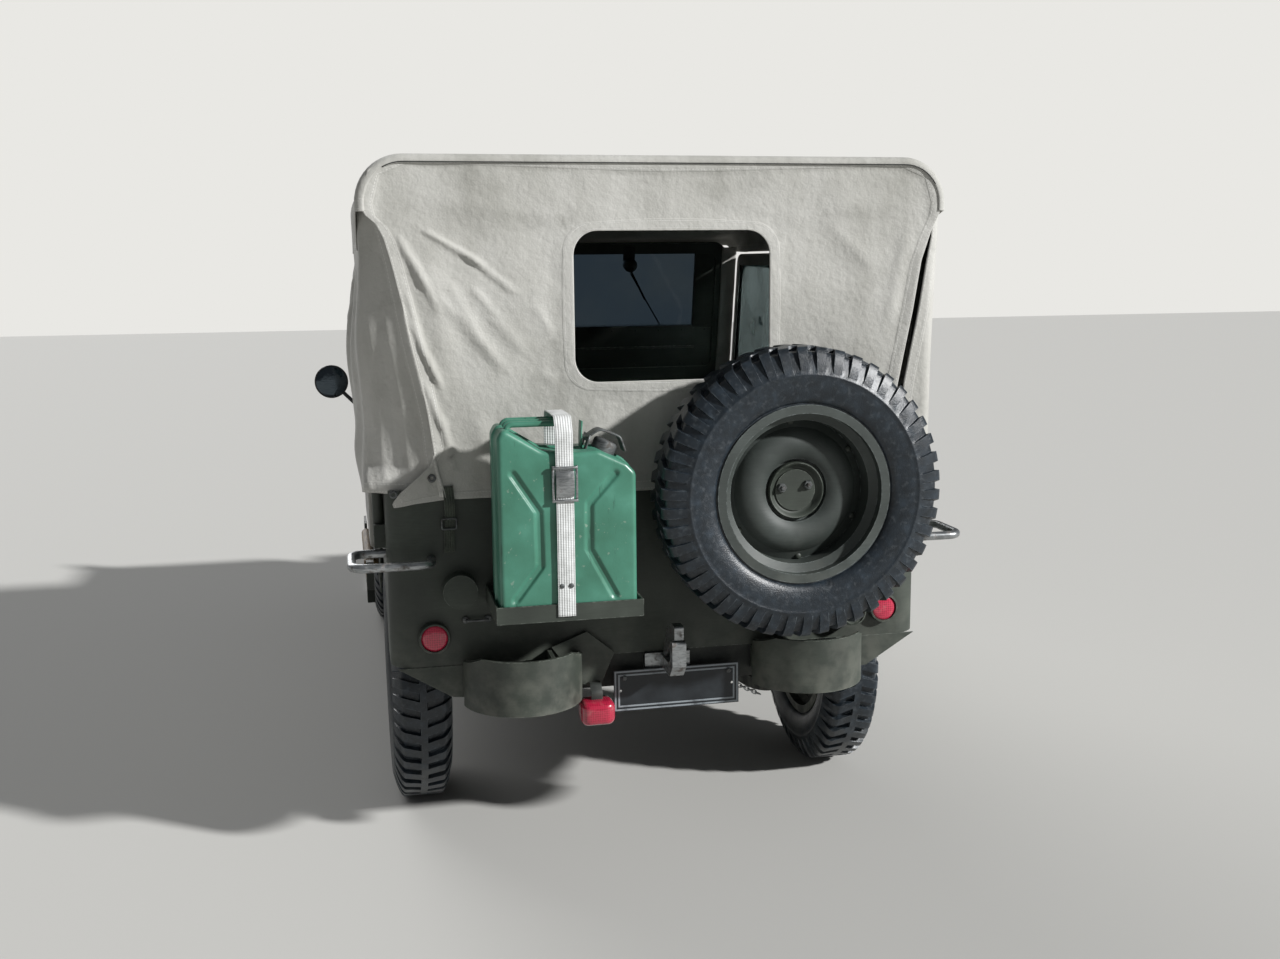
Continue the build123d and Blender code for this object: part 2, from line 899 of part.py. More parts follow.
# Wheels
def hub_plane(centre, outward):
    # local X runs out along the axle and local Y is the radius
    point = Vector(centre[0] - origin_x, centre[1] - origin_y, centre[2])
    out = Vector(*outward)
    return Plane(origin=point, x_dir=out, z_dir=out.cross(Vector(0, 0, 1)))


def bar_corners():
    # round the tread: up each bar's wall, across its top, down, and over the groove
    corners = []
    for bar in range(bar_count):
        for share, radius in ((0, tyre_radius - bar_depth), (0, tyre_radius),
                              (bar_share, tyre_radius), (bar_share, tyre_radius - bar_depth)):
            angle = radians((bar + share) * 360 / bar_count)
            corners.append((radius * cos(angle), radius * sin(angle)))
    return corners


def wall_ring(near, far, mode=Mode.ADD):
    # a flat-sided cone between two rings, each given as (distance out, radius)
    rings = []
    for out, radius in (near, far):
        with BuildSketch(Plane.XY.offset(out)) as ring:
            RegularPolygon(radius, wall_sides)
        rings.append(ring.sketch.faces()[0])
    loft(rings, ruled=True, mode=mode)


def make_tyre():
    # about its own axle: bars right across the tread, and sidewalls that swell out
    # and fall back to the beads
    tread = tread_width / 2
    seat = rim_width / 2 - rim_wall - 1
    flat = cos(radians(180 / wall_sides))
    with BuildPart() as tyre:
        with BuildSketch():
            with BuildLine():
                Polyline(*bar_corners(), close=True)
            make_face()
        extrude(amount=tread, both=True)
        for end in (-1, 1):
            wall_ring((end * tread, wall_top), (end * tyre_width / 2, wall_bulge))
            wall_ring((end * seat, (rim_flange + bead_rise) / flat),
                      (end * tyre_width / 2, wall_bulge), Mode.SUBTRACT)
        with BuildSketch():
            RegularPolygon(bead_radius / flat, wall_sides)
        extrude(amount=tyre_width, both=True, mode=Mode.SUBTRACT)
    return tyre.part


def on_axle(piece, centre, outward):
    # moves a piece from its own axle to a wheel's place, its axis facing outward
    point = (centre[0] - origin_x, centre[1] - origin_y, centre[2])
    return Plane(origin=point, x_dir=(0, 0, 1), z_dir=outward).location * piece


def make_rim(centre, outward, driven):
    plane = hub_plane(centre, outward)
    half = rim_width / 2
    lip = half - rim_wall
    well = bead_radius - well_depth
    inner_bead = bead_radius - rim_wall
    disc = -disc_set
    foot = well - rim_wall + 1
    with BuildPart(plane) as rim:
        with BuildSketch(plane):
            with BuildLine():
                Polyline(
                    (-half, rim_flange), (-lip, rim_flange), (-lip, bead_radius),
                    (-well_mouth, bead_radius), (-well_half, well), (well_half, well),
                    (well_mouth, bead_radius), (lip, bead_radius), (lip, rim_flange),
                    (half, rim_flange), (half, inner_bead), (well_mouth + 3, inner_bead),
                    (well_half + 2, well - rim_wall), (-well_half - 2, well - rim_wall),
                    (-well_mouth - 3, inner_bead), (-half, inner_bead), close=True,
                )
            make_face()
            with BuildLine():
                Line((disc, bore_radius), (disc, recess_radius + 3))
                Line((disc, recess_radius + 3),
                     (disc + step_rise - rim_wall, recess_radius + 3))
                ThreePointArc((disc + step_rise - rim_wall, recess_radius + 3),
                              (disc + crown_rise - disc_wall, crown_radius),
                              (disc + foot_rise, disc_bulge_radius))
                Line((disc + foot_rise, disc_bulge_radius), (disc - foot_drop, foot))
                Line((disc - foot_drop, foot), (disc - foot_drop + disc_wall, foot))
                Line((disc - foot_drop + disc_wall, foot),
                     (disc + foot_rise + disc_wall, disc_bulge_radius + 3))
                ThreePointArc((disc + foot_rise + disc_wall, disc_bulge_radius + 3),
                              (disc + crown_rise, crown_radius),
                              (disc + step_rise, recess_radius))
                Line((disc + step_rise, recess_radius), (disc + rim_wall, recess_radius))
                Line((disc + rim_wall, recess_radius), (disc + rim_wall, bore_radius))
                Line((disc + rim_wall, bore_radius), (disc, bore_radius))
            make_face()
        revolve(axis=Axis(plane.origin, plane.x_dir))
        if driven:
            with BuildSketch(plane):
                with BuildLine():
                    Polyline(
                        (disc - drum_depth, 0), (disc - drum_depth, drum_radius),
                        (disc, drum_radius), (disc, hub_radius),
                        (disc + hub_shoulder, hub_radius - 8),
                        (disc + hub_reach, hub_nose), (disc + hub_reach, 0), close=True,
                    )
                make_face()
            revolve(axis=Axis(plane.origin, plane.x_dir))
    return rim.part


wheel_z = tyre_radius
plain_tyre = make_tyre()
# where each road wheel stands: name, side of the car, and its axle
for name, hand, axle_y in (("rear_left", -1, rear_axle_y), ("rear_right", 1, rear_axle_y),
                           ("front_left", -1, front_axle_y),
                           ("front_right", 1, front_axle_y)):
    place = (hand * track / 2, axle_y, wheel_z)
    keep(on_axle(plain_tyre, place, (hand, 0, 0)), f"tyre_{name}")
    keep(make_rim(place, (hand, 0, 0), True), f"rim_{name}")

spare_place = (spare_x, spare_y, spare_z)
keep(on_axle(plain_tyre, spare_place, (0, -1, 0)), "spare_tyre")
keep(make_rim(spare_place, (0, -1, 0), False), "spare_rim")

# Axles and knuckles
backing_radius = drum_radius - 2

with BuildPart(ground) as rear_axle:
    rod((-backing_x, rear_axle_y, wheel_z), (backing_x, rear_axle_y, wheel_z), axle_tube)
    with Locations((diff_x, rear_axle_y, wheel_z)):
        Sphere(diff_radius)
    rod((diff_x, rear_axle_y, wheel_z), (diff_x, rear_axle_y + pinion_reach, wheel_z),
        pinion_radius)
    for end in (-1, 1):
        rod((end * backing_x, rear_axle_y, wheel_z),
            (end * (backing_x + sheet), rear_axle_y, wheel_z), backing_radius)
        edge = sorted((end * (rail_half - rail_width), end * rail_half))
        block(edge, (rear_axle_y - spring_pad_half, rear_axle_y + spring_pad_half),
              (spring_top + 1, wheel_z))
keep(rear_axle.part, "rear_axle")

# where the half ball at each end of the front axle meets its tube
ball_run = (ball_radius ** 2 - axle_tube ** 2) ** 0.5
ball_mid = (ball_radius * 0.5, ball_radius * 0.75 ** 0.5)
axle_profile = across(front_axle_y)
with BuildPart(ground) as front_axle:
    with BuildSketch(axle_profile):
        with BuildLine():
            Line((-kingpin_x, wheel_z), (-kingpin_x, wheel_z + ball_radius))
            ThreePointArc((-kingpin_x, wheel_z + ball_radius),
                          (-kingpin_x + ball_mid[0], wheel_z + ball_mid[1]),
                          (-kingpin_x + ball_run, wheel_z + axle_tube))
            Line((-kingpin_x + ball_run, wheel_z + axle_tube),
                 (kingpin_x - ball_run, wheel_z + axle_tube))
            ThreePointArc((kingpin_x - ball_run, wheel_z + axle_tube),
                          (kingpin_x - ball_mid[0], wheel_z + ball_mid[1]),
                          (kingpin_x, wheel_z + ball_radius))
            Line((kingpin_x, wheel_z + ball_radius), (kingpin_x, wheel_z))
            Line((kingpin_x, wheel_z), (-kingpin_x, wheel_z))
        make_face()
    revolve(axis=Axis(axle_profile.from_local_coords((0, wheel_z, 0)), (1, 0, 0)))
    with Locations((diff_x, front_axle_y, wheel_z)):
        Sphere(diff_radius)
    rod((diff_x, front_axle_y, wheel_z),
        (diff_x, front_axle_y - front_pinion_reach, wheel_z), pinion_radius)
    for end in (-1, 1):
        edge = sorted((end * (rail_half - rail_width), end * rail_half))
        block(edge, (front_axle_y - spring_pad_half, front_axle_y + spring_pad_half),
              (spring_top + 1, wheel_z))
keep(front_axle.part, "front_axle")

knuckle_inner = ball_radius + knuckle_gap
knuckle_outer = knuckle_inner + knuckle_wall


def make_knuckle(hand):
    centre = (hand * kingpin_x, front_axle_y, wheel_z)
    with BuildPart(ground) as knuckle:
        with Locations(centre):
            Sphere(knuckle_outer)
            Sphere(knuckle_inner, mode=Mode.SUBTRACT)
        room = knuckle_outer + 1
        inboard = sorted((hand * (kingpin_x - room), hand * kingpin_x))
        block(inboard, (front_axle_y - room, front_axle_y + room),
              (wheel_z - room, wheel_z + room), mode=Mode.SUBTRACT)
        outboard = sorted((hand * backing_x, hand * (kingpin_x + room)))
        block(outboard, (front_axle_y - room, front_axle_y + room),
              (wheel_z - room, wheel_z + room), mode=Mode.SUBTRACT)
        rod((hand * backing_x, front_axle_y, wheel_z),
            (hand * (backing_x + sheet), front_axle_y, wheel_z), backing_radius)
        # the upper boss carries the steering arm, which reaches back and inboard
        rod((centre[0], centre[1], wheel_z + knuckle_inner + 1),
            (centre[0], centre[1], arm_z + arm_thick), boss_radius)
        with BuildSketch(level(arm_z)):
            with BuildLine():
                arm = Line((centre[0], centre[1]),
                           (centre[0] - hand * arm_offset, centre[1] - arm_length))
            trace(arm, line_width=arm_width)
        extrude(amount=arm_thick)
    return knuckle.part


keep(make_knuckle(-1), "knuckle_left")
keep(make_knuckle(1), "knuckle_right")

track_rod_z = arm_z - track_rod_gap - track_rod_radius
with BuildPart(ground) as track_rod:
    reach = kingpin_x - arm_offset
    rod((-reach, front_axle_y - arm_length, track_rod_z),
        (reach, front_axle_y - arm_length, track_rod_z), track_rod_radius)
keep(track_rod.part, "track_rod")

# Springs: a curved leaf pack on each side of each axle, hung from the rails
spring_eye_top = spring_eye + spring_leaf
with BuildPart(ground) as springs:
    # each axle and the half length of its springs
    for axle_y, reach in ((rear_axle_y, spring_reach_rear),
                          (front_axle_y, spring_reach_front)):
        with BuildSketch(side(rail_half)):
            with BuildLine():
                ThreePointArc((axle_y - reach, spring_eye),
                              (axle_y, spring_top - spring_pack),
                              (axle_y + reach, spring_eye))
                Line((axle_y + reach, spring_eye), (axle_y + reach, spring_eye_top))
                ThreePointArc((axle_y + reach, spring_eye_top), (axle_y, spring_top),
                              (axle_y - reach, spring_eye_top))
                Line((axle_y - reach, spring_eye_top), (axle_y - reach, spring_eye))
            make_face()
        extrude(amount=-rail_width)
        for place in (axle_y - reach, axle_y + reach):
            hanger = (place - shackle_half, place + shackle_half)
            block((rail_half - rail_width, rail_half), hanger,
                  (spring_eye, min(under_rail(hanger[0]), under_rail(hanger[1]))))
    mirror(about=side(0))
keep(springs.part, "springs")

# Engine, gearbox, shafts, exhaust and fuel tank
with BuildPart(ground) as engine_block:
    block((-engine_half, engine_half), (engine_rear, engine_rear + engine_length),
          (engine_low, engine_top))
keep(engine_block.part, "engine_block")

shaft_rear = gearbox_rear - transfer_length
with BuildPart(ground) as driveline:
    block((-gearbox_half, gearbox_half), (gearbox_rear, engine_rear - 1),
          (shaft_z + 5, gearbox_top))
    block((diff_x - 2 * gearbox_half, diff_x + 70), (shaft_rear, gearbox_rear),
          (shaft_z - transfer_drop, gearbox_top))
    rod((diff_x, shaft_rear, shaft_z),
        (diff_x, rear_axle_y + pinion_reach + shaft_gap, wheel_z), shaft_radius)
    rod((diff_x, gearbox_rear, shaft_z),
        (diff_x, front_axle_y - front_pinion_reach - shaft_gap, wheel_z), shaft_radius)
keep(driveline.part, "driveline")

pipe_low = muffler_z - 34
muffler_front = muffler_rear + muffler_length
with BuildPart(ground) as exhaust:
    tube([(pipe_x, engine_rear + 240, engine_low + 115), (pipe_x, engine_rear + 240, muffler_z - 5),
          (pipe_x, engine_rear + 90, pipe_low), (muffler_x - 80, engine_rear + 30, pipe_low),
          (muffler_x, muffler_front + 240, muffler_z), (muffler_x, muffler_front, muffler_z)],
         pipe_bend, pipe_radius)
    rod((muffler_x, muffler_front, muffler_z), (muffler_x, muffler_rear, muffler_z),
        muffler_radius)
    tube([(muffler_x, muffler_rear, muffler_z), (muffler_x, muffler_rear - 110, muffler_z),
          (tub_half - tail_pipe_radius, muffler_rear - 150, muffler_z - 10)],
         pipe_bend, tail_pipe_radius)
keep(exhaust.part, "exhaust")

with BuildPart(ground) as fuel_tank:
    block((-tank_out, -tank_out + tank_width), (tank_rear, tank_rear + tank_length),
          (tank_low, tub_bottom))
keep(fuel_tank.part, "fuel_tank")

# Steering column with its box on the left rail, and the steering wheel
column_foot = on_column(column_length)
with BuildPart(ground) as steering_column:
    rod(on_column(boss_depth / 2 + wheel_gap), column_foot, column_radius)
    block((steering_x - 25, steering_x + 45), (column_foot[1] - 50, column_foot[1] + 50),
          (rail_top, column_foot[2] + 50))
keep(steering_column.part, "steering_column")

steering_plane = Plane(
    origin=(steering_x - origin_x, steering_y - origin_y, steering_z),
    x_dir=(1, 0, 0),
    z_dir=(0, -column_run, column_rise),
)
with BuildPart(steering_plane) as steering_wheel:
    Torus(wheel_dia / 2 - wheel_grip, wheel_grip)
    Cylinder(boss_depth / 2, boss_depth)
    with PolarLocations(0, 3, start_angle=90):
        with Locations((wheel_dia / 4 - 5, 0, 0)):
            Box(wheel_dia / 2 - 20, spoke_width, spoke_thick)
keep(steering_wheel.part, "steering_wheel")

# Seats: tube frames with cushions
rail_z = floor_top + seat_rise
bench_top = rail_z - 10
with BuildPart(ground) as seat_frames:
    for centre in (-seat_x, seat_x):
        for rail in (centre - seat_half, centre + seat_half):
            tube([(rail, seat_front, floor_top), (rail, seat_front, rail_z + 10),
                  (rail, seat_rear + 40, rail_z),
                  (rail, seat_rear - 20, floor_top + seat_back_top)], seat_bend, seat_tube)
            rod((rail, seat_rear + 60, floor_top), (rail, seat_rear + 60, rail_z + 1),
                seat_tube)
        # cross bars: place along the car, height above the floor
        for y, rise in ((seat_front, seat_rise - 75), (seat_rear - 19, seat_back_top - 12),
                        (seat_rear + 60, seat_rise - 85)):
            rod((centre - seat_half, y, floor_top + rise),
                (centre + seat_half, y, floor_top + rise), seat_tube)
    for rail in (-bench_half, bench_half):
        tube([(rail, bench_front, floor_top), (rail, bench_front, rail_z),
              (rail, bench_rear, bench_top), (rail, bench_rear - 40, floor_top + bench_back_top)],
             seat_bend, seat_tube)
    rod((-bench_half, bench_front, rail_z - 75), (bench_half, bench_front, rail_z - 75),
        seat_tube)
    rod((-bench_half, bench_rear - 39, floor_top + bench_back_top - 10),
        (bench_half, bench_rear - 39, floor_top + bench_back_top - 10), seat_tube)
keep(seat_frames.part, "seat_frames")

with BuildPart(ground) as seat_pads:
    # middle, half width, rear, front, underside, back's rear face, top of the back
    for centre, half, rear, front, low, back, high in (
            (-seat_x, pad_half, seat_rear + 65, seat_front - 10, rail_z + 20,
             seat_rear, rail_z + 375),
            (seat_x, pad_half, seat_rear + 65, seat_front - 10, rail_z + 20,
             seat_rear, rail_z + 375),
            (0, bench_pad_half, bench_rear + 30, bench_front - 10, rail_z + 13,
             bench_rear - 18, rail_z + 255)):
        block((centre - half, centre + half), (rear, front), (low, low + pad_thick))
        block((centre - half, centre + half), (back, back + pad_back_thick),
              (low + pad_thick + pad_round, high))
    fillet(seat_pads.edges().filter_by(Axis.X), pad_round)
keep(seat_pads.part, "seat_pads")

# Spare wheel's carrier
with BuildPart(ground) as spare_carrier:
    foot_low = spare_z - 204
    disc_inner = spare_y + disc_set
    block((spare_x - 80, spare_x + 80), (-2 * sheet, 0), (foot_low, foot_low + 180))
    with BuildSketch(side(spare_x - 45)):
        with BuildLine():
            Polyline((-2 * sheet, foot_low + 10), (-2 * sheet, foot_low + 170),
                     (-100, spare_z + 36), (-100, spare_z - 44), close=True)
        make_face()
    extrude(amount=90)
    rod((spare_x, -92, spare_z), (spare_x, disc_inner, spare_z), recess_radius - 10)
    rod((spare_x, disc_inner, spare_z), (spare_x, disc_inner - 12, spare_z),
        bore_radius - 2)
keep(spare_carrier.part, "spare_carrier")

# Fuel can, its three handles, its tray and its strap
can_front = can_back - can_depth
can_mid = (can_back + can_front) / 2
can_top = can_floor + can_height
with BuildPart(ground) as fuel_can:
    with BuildSketch(across(can_back)):
        with BuildLine():
            FilletPolyline(
                (can_x + can_side, can_floor), (can_x - can_side, can_floor),
                *((can_x + x, can_top - drop) for x, drop in can_slope),
                radius=can_edge, close=True,
            )
        make_face()
    extrude(amount=can_depth)
    ends = fuel_can.faces().filter_by(Axis.Y)
    fillet(ends.edges(), can_edge - 1)
    for face, inward in ((can_front, -1), (can_back, 1)):
        with BuildSketch(across(face)) as pressed:
            for rib in can_ribs:
                with BuildLine() as line:
                    Polyline(*((can_x + x, can_floor + z) for x, z in rib))
                trace(line.line, line_width=rib_width)
        extrude(pressed.sketch, amount=inward * rib_depth, mode=Mode.SUBTRACT)
    rod((cap_x, can_mid, can_top - 45), (cap_x + 20, can_mid, can_top - 4), cap_radius)
keep(fuel_can.part, "fuel_can")

handle_x = can_x + handle_shift
handle_top = can_top + handle_rise
with BuildPart(ground) as can_handles:
    for y in (can_mid - handle_pitch, can_mid, can_mid + handle_pitch):
        tube([(handle_x - handle_half, y, can_top - handle_sunk),
              (handle_x - handle_half, y, handle_top), (handle_x + handle_half, y, handle_top),
              (handle_x + handle_half, y, can_top - handle_sunk)],
             handle_bend, handle_radius)
# each handle ends on the can's sloping top
keep(can_handles.part - fuel_can.part, "can_handles")

tray_half = can_width / 2 + tray_sheet + tray_gap
tray_front = can_front - tray_sheet - tray_gap
tray_x = (can_x - tray_half + tray_sheet, can_x + tray_half - tray_sheet)
with BuildPart(ground) as can_tray:
    block((can_x - tray_half, can_x + tray_half), (tray_front, 0),
          (can_floor - tray_sheet, can_floor + tray_lip))
    block(tray_x, (can_front - tray_gap, can_back + tray_gap),
          (can_floor, can_floor + tray_lip + 1), mode=Mode.SUBTRACT)
    block(tray_x, (can_back + tray_gap + tray_sheet, -tray_sheet),
          (can_floor, can_floor + tray_lip + 1), mode=Mode.SUBTRACT)
    block((can_x - tray_brace_half, can_x + tray_brace_half), (-tray_sheet, 0),
          (can_floor, strap_anchor_z + 40))
keep(can_tray.part, "can_tray")

strap_top = handle_top + strap_rise
with BuildPart(ground) as can_strap:
    with BuildSketch(side(can_x - strap_width / 2)):
        with BuildLine():
            FilletPolyline(
                (tray_front - strap_gap, can_floor + 10), (tray_front - strap_gap, strap_top),
                (can_back + strap_gap, strap_top), (can_back + strap_gap, strap_anchor_z),
                (-tray_sheet - strap_gap, strap_anchor_z), radius=20,
            )
            offset(amount=strap_thick, side=Side.LEFT)
        make_face()
    extrude(amount=strap_width)
keep(can_strap.part, "can_strap")

# Grab handles round the rear corners
with BuildPart(ground) as grab_handles:
    for end in (-1, 1):
        out = end * (grab_outer - grab_tube)
        tube([(end * grab_root_x, 0, grab_z), (end * grab_root_x, -grab_stand, grab_z),
              (out, -grab_stand, grab_z), (out, grab_root_y, grab_z),
              (end * tub_half, grab_root_y, grab_z)], grab_bend, grab_tube)
keep(grab_handles.part, "grab_handles")

# Bumperettes, pintle, plate, lamps and trailer socket at the rear
with BuildPart(ground) as bumperettes:
    for centre in (-bumperette_x, bumperette_x):
        with BuildSketch(level(bumperette_low)):
            with BuildLine():
                ThreePointArc((centre - bumperette_half, bumperette_foot),
                              (centre, bumperette_back),
                              (centre + bumperette_half, bumperette_foot))
                offset(amount=bumperette_sheet, side=Side.LEFT)
            make_face()
        extrude(amount=bumperette_high - bumperette_low)
        block((centre - bumperette_half + 6, centre + bumperette_half - 6),
              (bumperette_foot - 4, rail_rear), (bracket_low, bracket_low + bracket_tall))
        # the upper outer corners are cut away
        with BuildSketch(across(rail_rear)):
            for end in (-1, 1):
                with BuildLine() as corner:
                    tip = centre + end * (bumperette_half + 8)
                    Polyline((tip, bumperette_high + 1), (tip, bumperette_high - corner_cut),
                             (tip - end * corner_cut * 1.6, bumperette_high + 1), close=True)
                make_face(corner.edges())
        extrude(amount=-bumperette_back, mode=Mode.SUBTRACT)
        # a pierced ear stands inside the curve, near its inner end
        inner = 1 if centre < 0 else -1
        ear_x = centre + inner * ear_shift
        with BuildSketch(side(ear_x)):
            with BuildLine():
                Polyline((ear_front, bracket_low + 5), (ear_front, bumperette_high - 15),
                         (ear_back, bumperette_high - 15), (ear_back, bracket_low + 5),
                         close=True)
            make_face()
            with Locations(((ear_back + ear_front) / 2, bumperette_high - 40)):
                Circle(ear_hole, mode=Mode.SUBTRACT)
        extrude(amount=ear_sheet / 2, both=True)
keep(bumperettes.part, "bumperettes")

with BuildPart(ground) as tow_pintle:
    block((-60, 60), (-rail_rear, rail_rear), (rail_top - 72, rail_top - 2))
    with BuildSketch(side(-pintle_half)):
        with BuildLine():
            FilletPolyline(
                (-rail_rear + 1, pintle_low - 2), (pintle_back + 30, pintle_low - 2),
                (pintle_back, pintle_low + 30), (pintle_back, pintle_high - 40),
                (pintle_back + 24, pintle_high - 40), (pintle_back + 24, pintle_low + 40),
                (pintle_back + 48, pintle_low + 30), (-rail_rear + 1, pintle_low + 30),
                radius=8, close=True,
            )
        make_face()
    extrude(amount=2 * pintle_half)
    # the latch closes the hook from above and ends in a thumb piece
    with BuildSketch(side(-latch_half)):
        with BuildLine():
            FilletPolyline(
                (-rail_rear + 1, pintle_low + 29), (-50, pintle_high - 30),
                (pintle_back + 40, pintle_high), (pintle_back + 2, pintle_high),
                (pintle_back + 2, pintle_high - 38), (pintle_back + 30, pintle_high - 38),
                (-40, pintle_low + 29), radius=6, close=True,
            )
        make_face()
    extrude(amount=2 * latch_half)
keep(tow_pintle.part, "tow_pintle")

with BuildPart(ground) as licence_plate:
    block((plate_x - plate_width / 2, plate_x + plate_width / 2),
          (plate_y, plate_y + plate_sheet),
          (plate_z - plate_height / 2, plate_z + plate_height / 2))
    with BuildSketch(across(plate_y)):
        with Locations((plate_x - plate_bolts / 2, plate_z),
                       (plate_x + plate_bolts / 2, plate_z)):
            Circle(plate_hole)
    extrude(amount=-plate_sheet - 1, mode=Mode.SUBTRACT)
    for x in (plate_x - plate_clip, plate_x + plate_clip):
        block((x - 12, x + 12), (plate_y + plate_sheet, rail_rear),
              (plate_z + 12, plate_z + 40))
keep(licence_plate.part, "licence_plate")

with BuildPart(ground) as rear_lamps:
    for x, radius, depth in ((-reflector_x, reflector_radius, reflector_depth),
                             (reflector_x, reflector_radius, reflector_depth),
                             (tail_x, tail_radius, tail_depth)):
        rod((x, 0, reflector_z), (x, -depth, reflector_z), radius)
        rod((x, -depth + lens_sunk, reflector_z), (x, -depth - 1, reflector_z),
            radius - lens_rim, mode=Mode.SUBTRACT)
    with BuildSketch(across(low_lamp_y)):
        with Locations((low_lamp_x, low_lamp_z)):
            RectangleRounded(low_lamp_width, low_lamp_height, low_lamp_round)
    extrude(amount=low_lamp_depth)
    block((low_lamp_x - 15, low_lamp_x + 15), (low_lamp_y - sheet, low_lamp_y + 1),
          (low_lamp_z, low_lamp_hang))
    block((low_lamp_x - 15, low_lamp_x + 15), (low_lamp_y - sheet, rail_rear),
          (low_lamp_hang - sheet, low_lamp_hang))
keep(rear_lamps.part, "rear_lamps")

with BuildPart(ground) as trailer_socket:
    rod((socket_x, 0, socket_z), (socket_x, -socket_depth, socket_z), socket_radius)
keep(trailer_socket.part, "trailer_socket")

# Shovel and axe on the left side, below the door
with BuildPart(ground) as shovel:
    blade_rear = shovel_rear + shovel_shaft
    rod((tool_x, shovel_rear, shovel_z), (tool_x, blade_rear, shovel_z),
        shovel_shaft_radius)
    # a pointed blade, with a socket that tapers onto the handle
    with BuildSketch(side(tool_x - shovel_blade_half / 2)):
        with BuildLine():
            Polyline((blade_rear - 60, shovel_z - 12), (blade_rear + 20, shovel_z - 16),
                     (blade_rear + 20, shovel_z - shovel_blade_low),
                     (blade_rear + shovel_blade * 0.75, shovel_z - shovel_blade_low + 6),
                     (blade_rear + shovel_blade, shovel_z - 20),
                     (blade_rear + shovel_blade * 0.75, shovel_z + shovel_blade_high - 4),
                     (blade_rear + 20, shovel_z + shovel_blade_high),
                     (blade_rear + 20, shovel_z + 16), (blade_rear - 60, shovel_z + 12),
                     close=True)
        make_face()
    extrude(amount=shovel_blade_half)
    block((tool_x, -tub_half), (shovel_rear + 40, shovel_rear + 40 + clip_length),
          (shovel_z - 20, shovel_z + 20))
keep(shovel.part, "shovel")

with BuildPart(ground) as axe:
    shaft_start = axe_rear + axe_head * 0.75
    rod((tool_x, shaft_start, axe_z), (tool_x, shaft_start + axe_shaft, axe_z),
        axe_shaft_radius)
    # the head tapers from a square poll above to a wide bit below
    with BuildSketch(side(tool_x - axe_head_half)):
        with BuildLine():
            Polyline((axe_rear + 12, axe_z + axe_head_high), (axe_rear + 50, axe_z + axe_head_high),
                     (axe_rear + 48, axe_z - 20), (axe_rear + axe_head, axe_z - axe_head_low),
                     (axe_rear - 30, axe_z - axe_head_low + 8), (axe_rear + 8, axe_z - 20),
                     close=True)
        make_face()
    extrude(amount=2 * axe_head_half)
    block((tool_x, -tub_half), (axe_rear + 335, axe_rear + 335 + clip_length),
          (axe_z - 15, axe_z + 15))
keep(axe.part, "axe")

with BuildPart(ground) as door_mirror:
    rod((mirror_x, mirror_y, mirror_z), (mirror_x, mirror_y - mirror_depth, mirror_z),
        mirror_radius)
    rod((mirror_x, mirror_y - 2, mirror_z),
        (-tub_half - mirror_arm + 1, cowl_front - 20, mirror_foot_z), mirror_arm)
    block((-tub_half - mirror_arm - 1, -tub_half), (cowl_front - 34, cowl_front - 4),
          (mirror_foot_z - 20, mirror_foot_z + 20))
keep(door_mirror.part, "door_mirror")
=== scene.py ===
import bpy
import bmesh
import json
import numpy as np
from math import cos, pi, radians, sin, tau
from mathutils import Matrix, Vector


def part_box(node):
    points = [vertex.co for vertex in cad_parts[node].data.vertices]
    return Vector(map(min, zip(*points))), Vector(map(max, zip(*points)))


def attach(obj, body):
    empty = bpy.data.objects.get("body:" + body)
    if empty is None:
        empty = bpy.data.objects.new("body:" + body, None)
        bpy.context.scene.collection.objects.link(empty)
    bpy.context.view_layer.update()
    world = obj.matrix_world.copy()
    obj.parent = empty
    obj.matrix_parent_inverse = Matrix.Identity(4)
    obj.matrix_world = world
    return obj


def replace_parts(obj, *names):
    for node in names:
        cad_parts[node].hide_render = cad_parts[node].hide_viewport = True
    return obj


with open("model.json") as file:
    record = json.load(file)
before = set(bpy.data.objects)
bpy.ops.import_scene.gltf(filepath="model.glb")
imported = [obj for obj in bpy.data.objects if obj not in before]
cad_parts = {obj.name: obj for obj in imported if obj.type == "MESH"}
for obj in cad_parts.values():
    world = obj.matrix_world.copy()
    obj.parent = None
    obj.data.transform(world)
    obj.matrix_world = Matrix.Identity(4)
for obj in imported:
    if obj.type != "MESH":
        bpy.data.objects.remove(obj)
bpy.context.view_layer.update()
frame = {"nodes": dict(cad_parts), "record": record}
nodes = frame["nodes"]
scene = bpy.context.scene

# Places are written as the car is measured, in metres: X right from the tub's centreline,
# Y forward from the rear panel, Z up from the ground. carShift moves them to the frame.
carShift = np.array((0.0475, -1.438, 0.0))

# Camera where the photograph was taken from, and a low sun from behind on the right
viewpoint = dict(place=(-0.7455, -4.709, 1.542), yaw=12.53, pitch=9.31, roll=0.56, lens=37.38)
studio = dict(
    keyFrom=(0.76, -0.51, 0.457), keyStrength=5.1, keySpread=3,
    fillFrom=(-0.30, 0.90, 0.45), fillStrength=1.5, fillSpread=40,
    skyStrength=0.17, skyColour="EDF1F6", paperColour="E9E8E4", floorColour="BFBEBA",
    floorHalf=28.0,
)


def srgb(code, alpha=1.0):
    # a hex colour as it is seen, turned to linear light
    v = np.array([int(code[i:i + 2], 16) for i in (0, 2, 4)]) / 255
    v = np.where(v <= 0.04045, v / 12.92, ((v + 0.055) / 1.055) ** 2.4)
    return (*v.tolist(), alpha)


def plug(tree, node, sockets):
    # each socket gets its value, or a link where it is given another socket
    for name, value in sockets.items():
        if isinstance(value, bpy.types.NodeSocket):
            tree.links.new(value, node.inputs[name])
        else:
            node.inputs[name].default_value = value


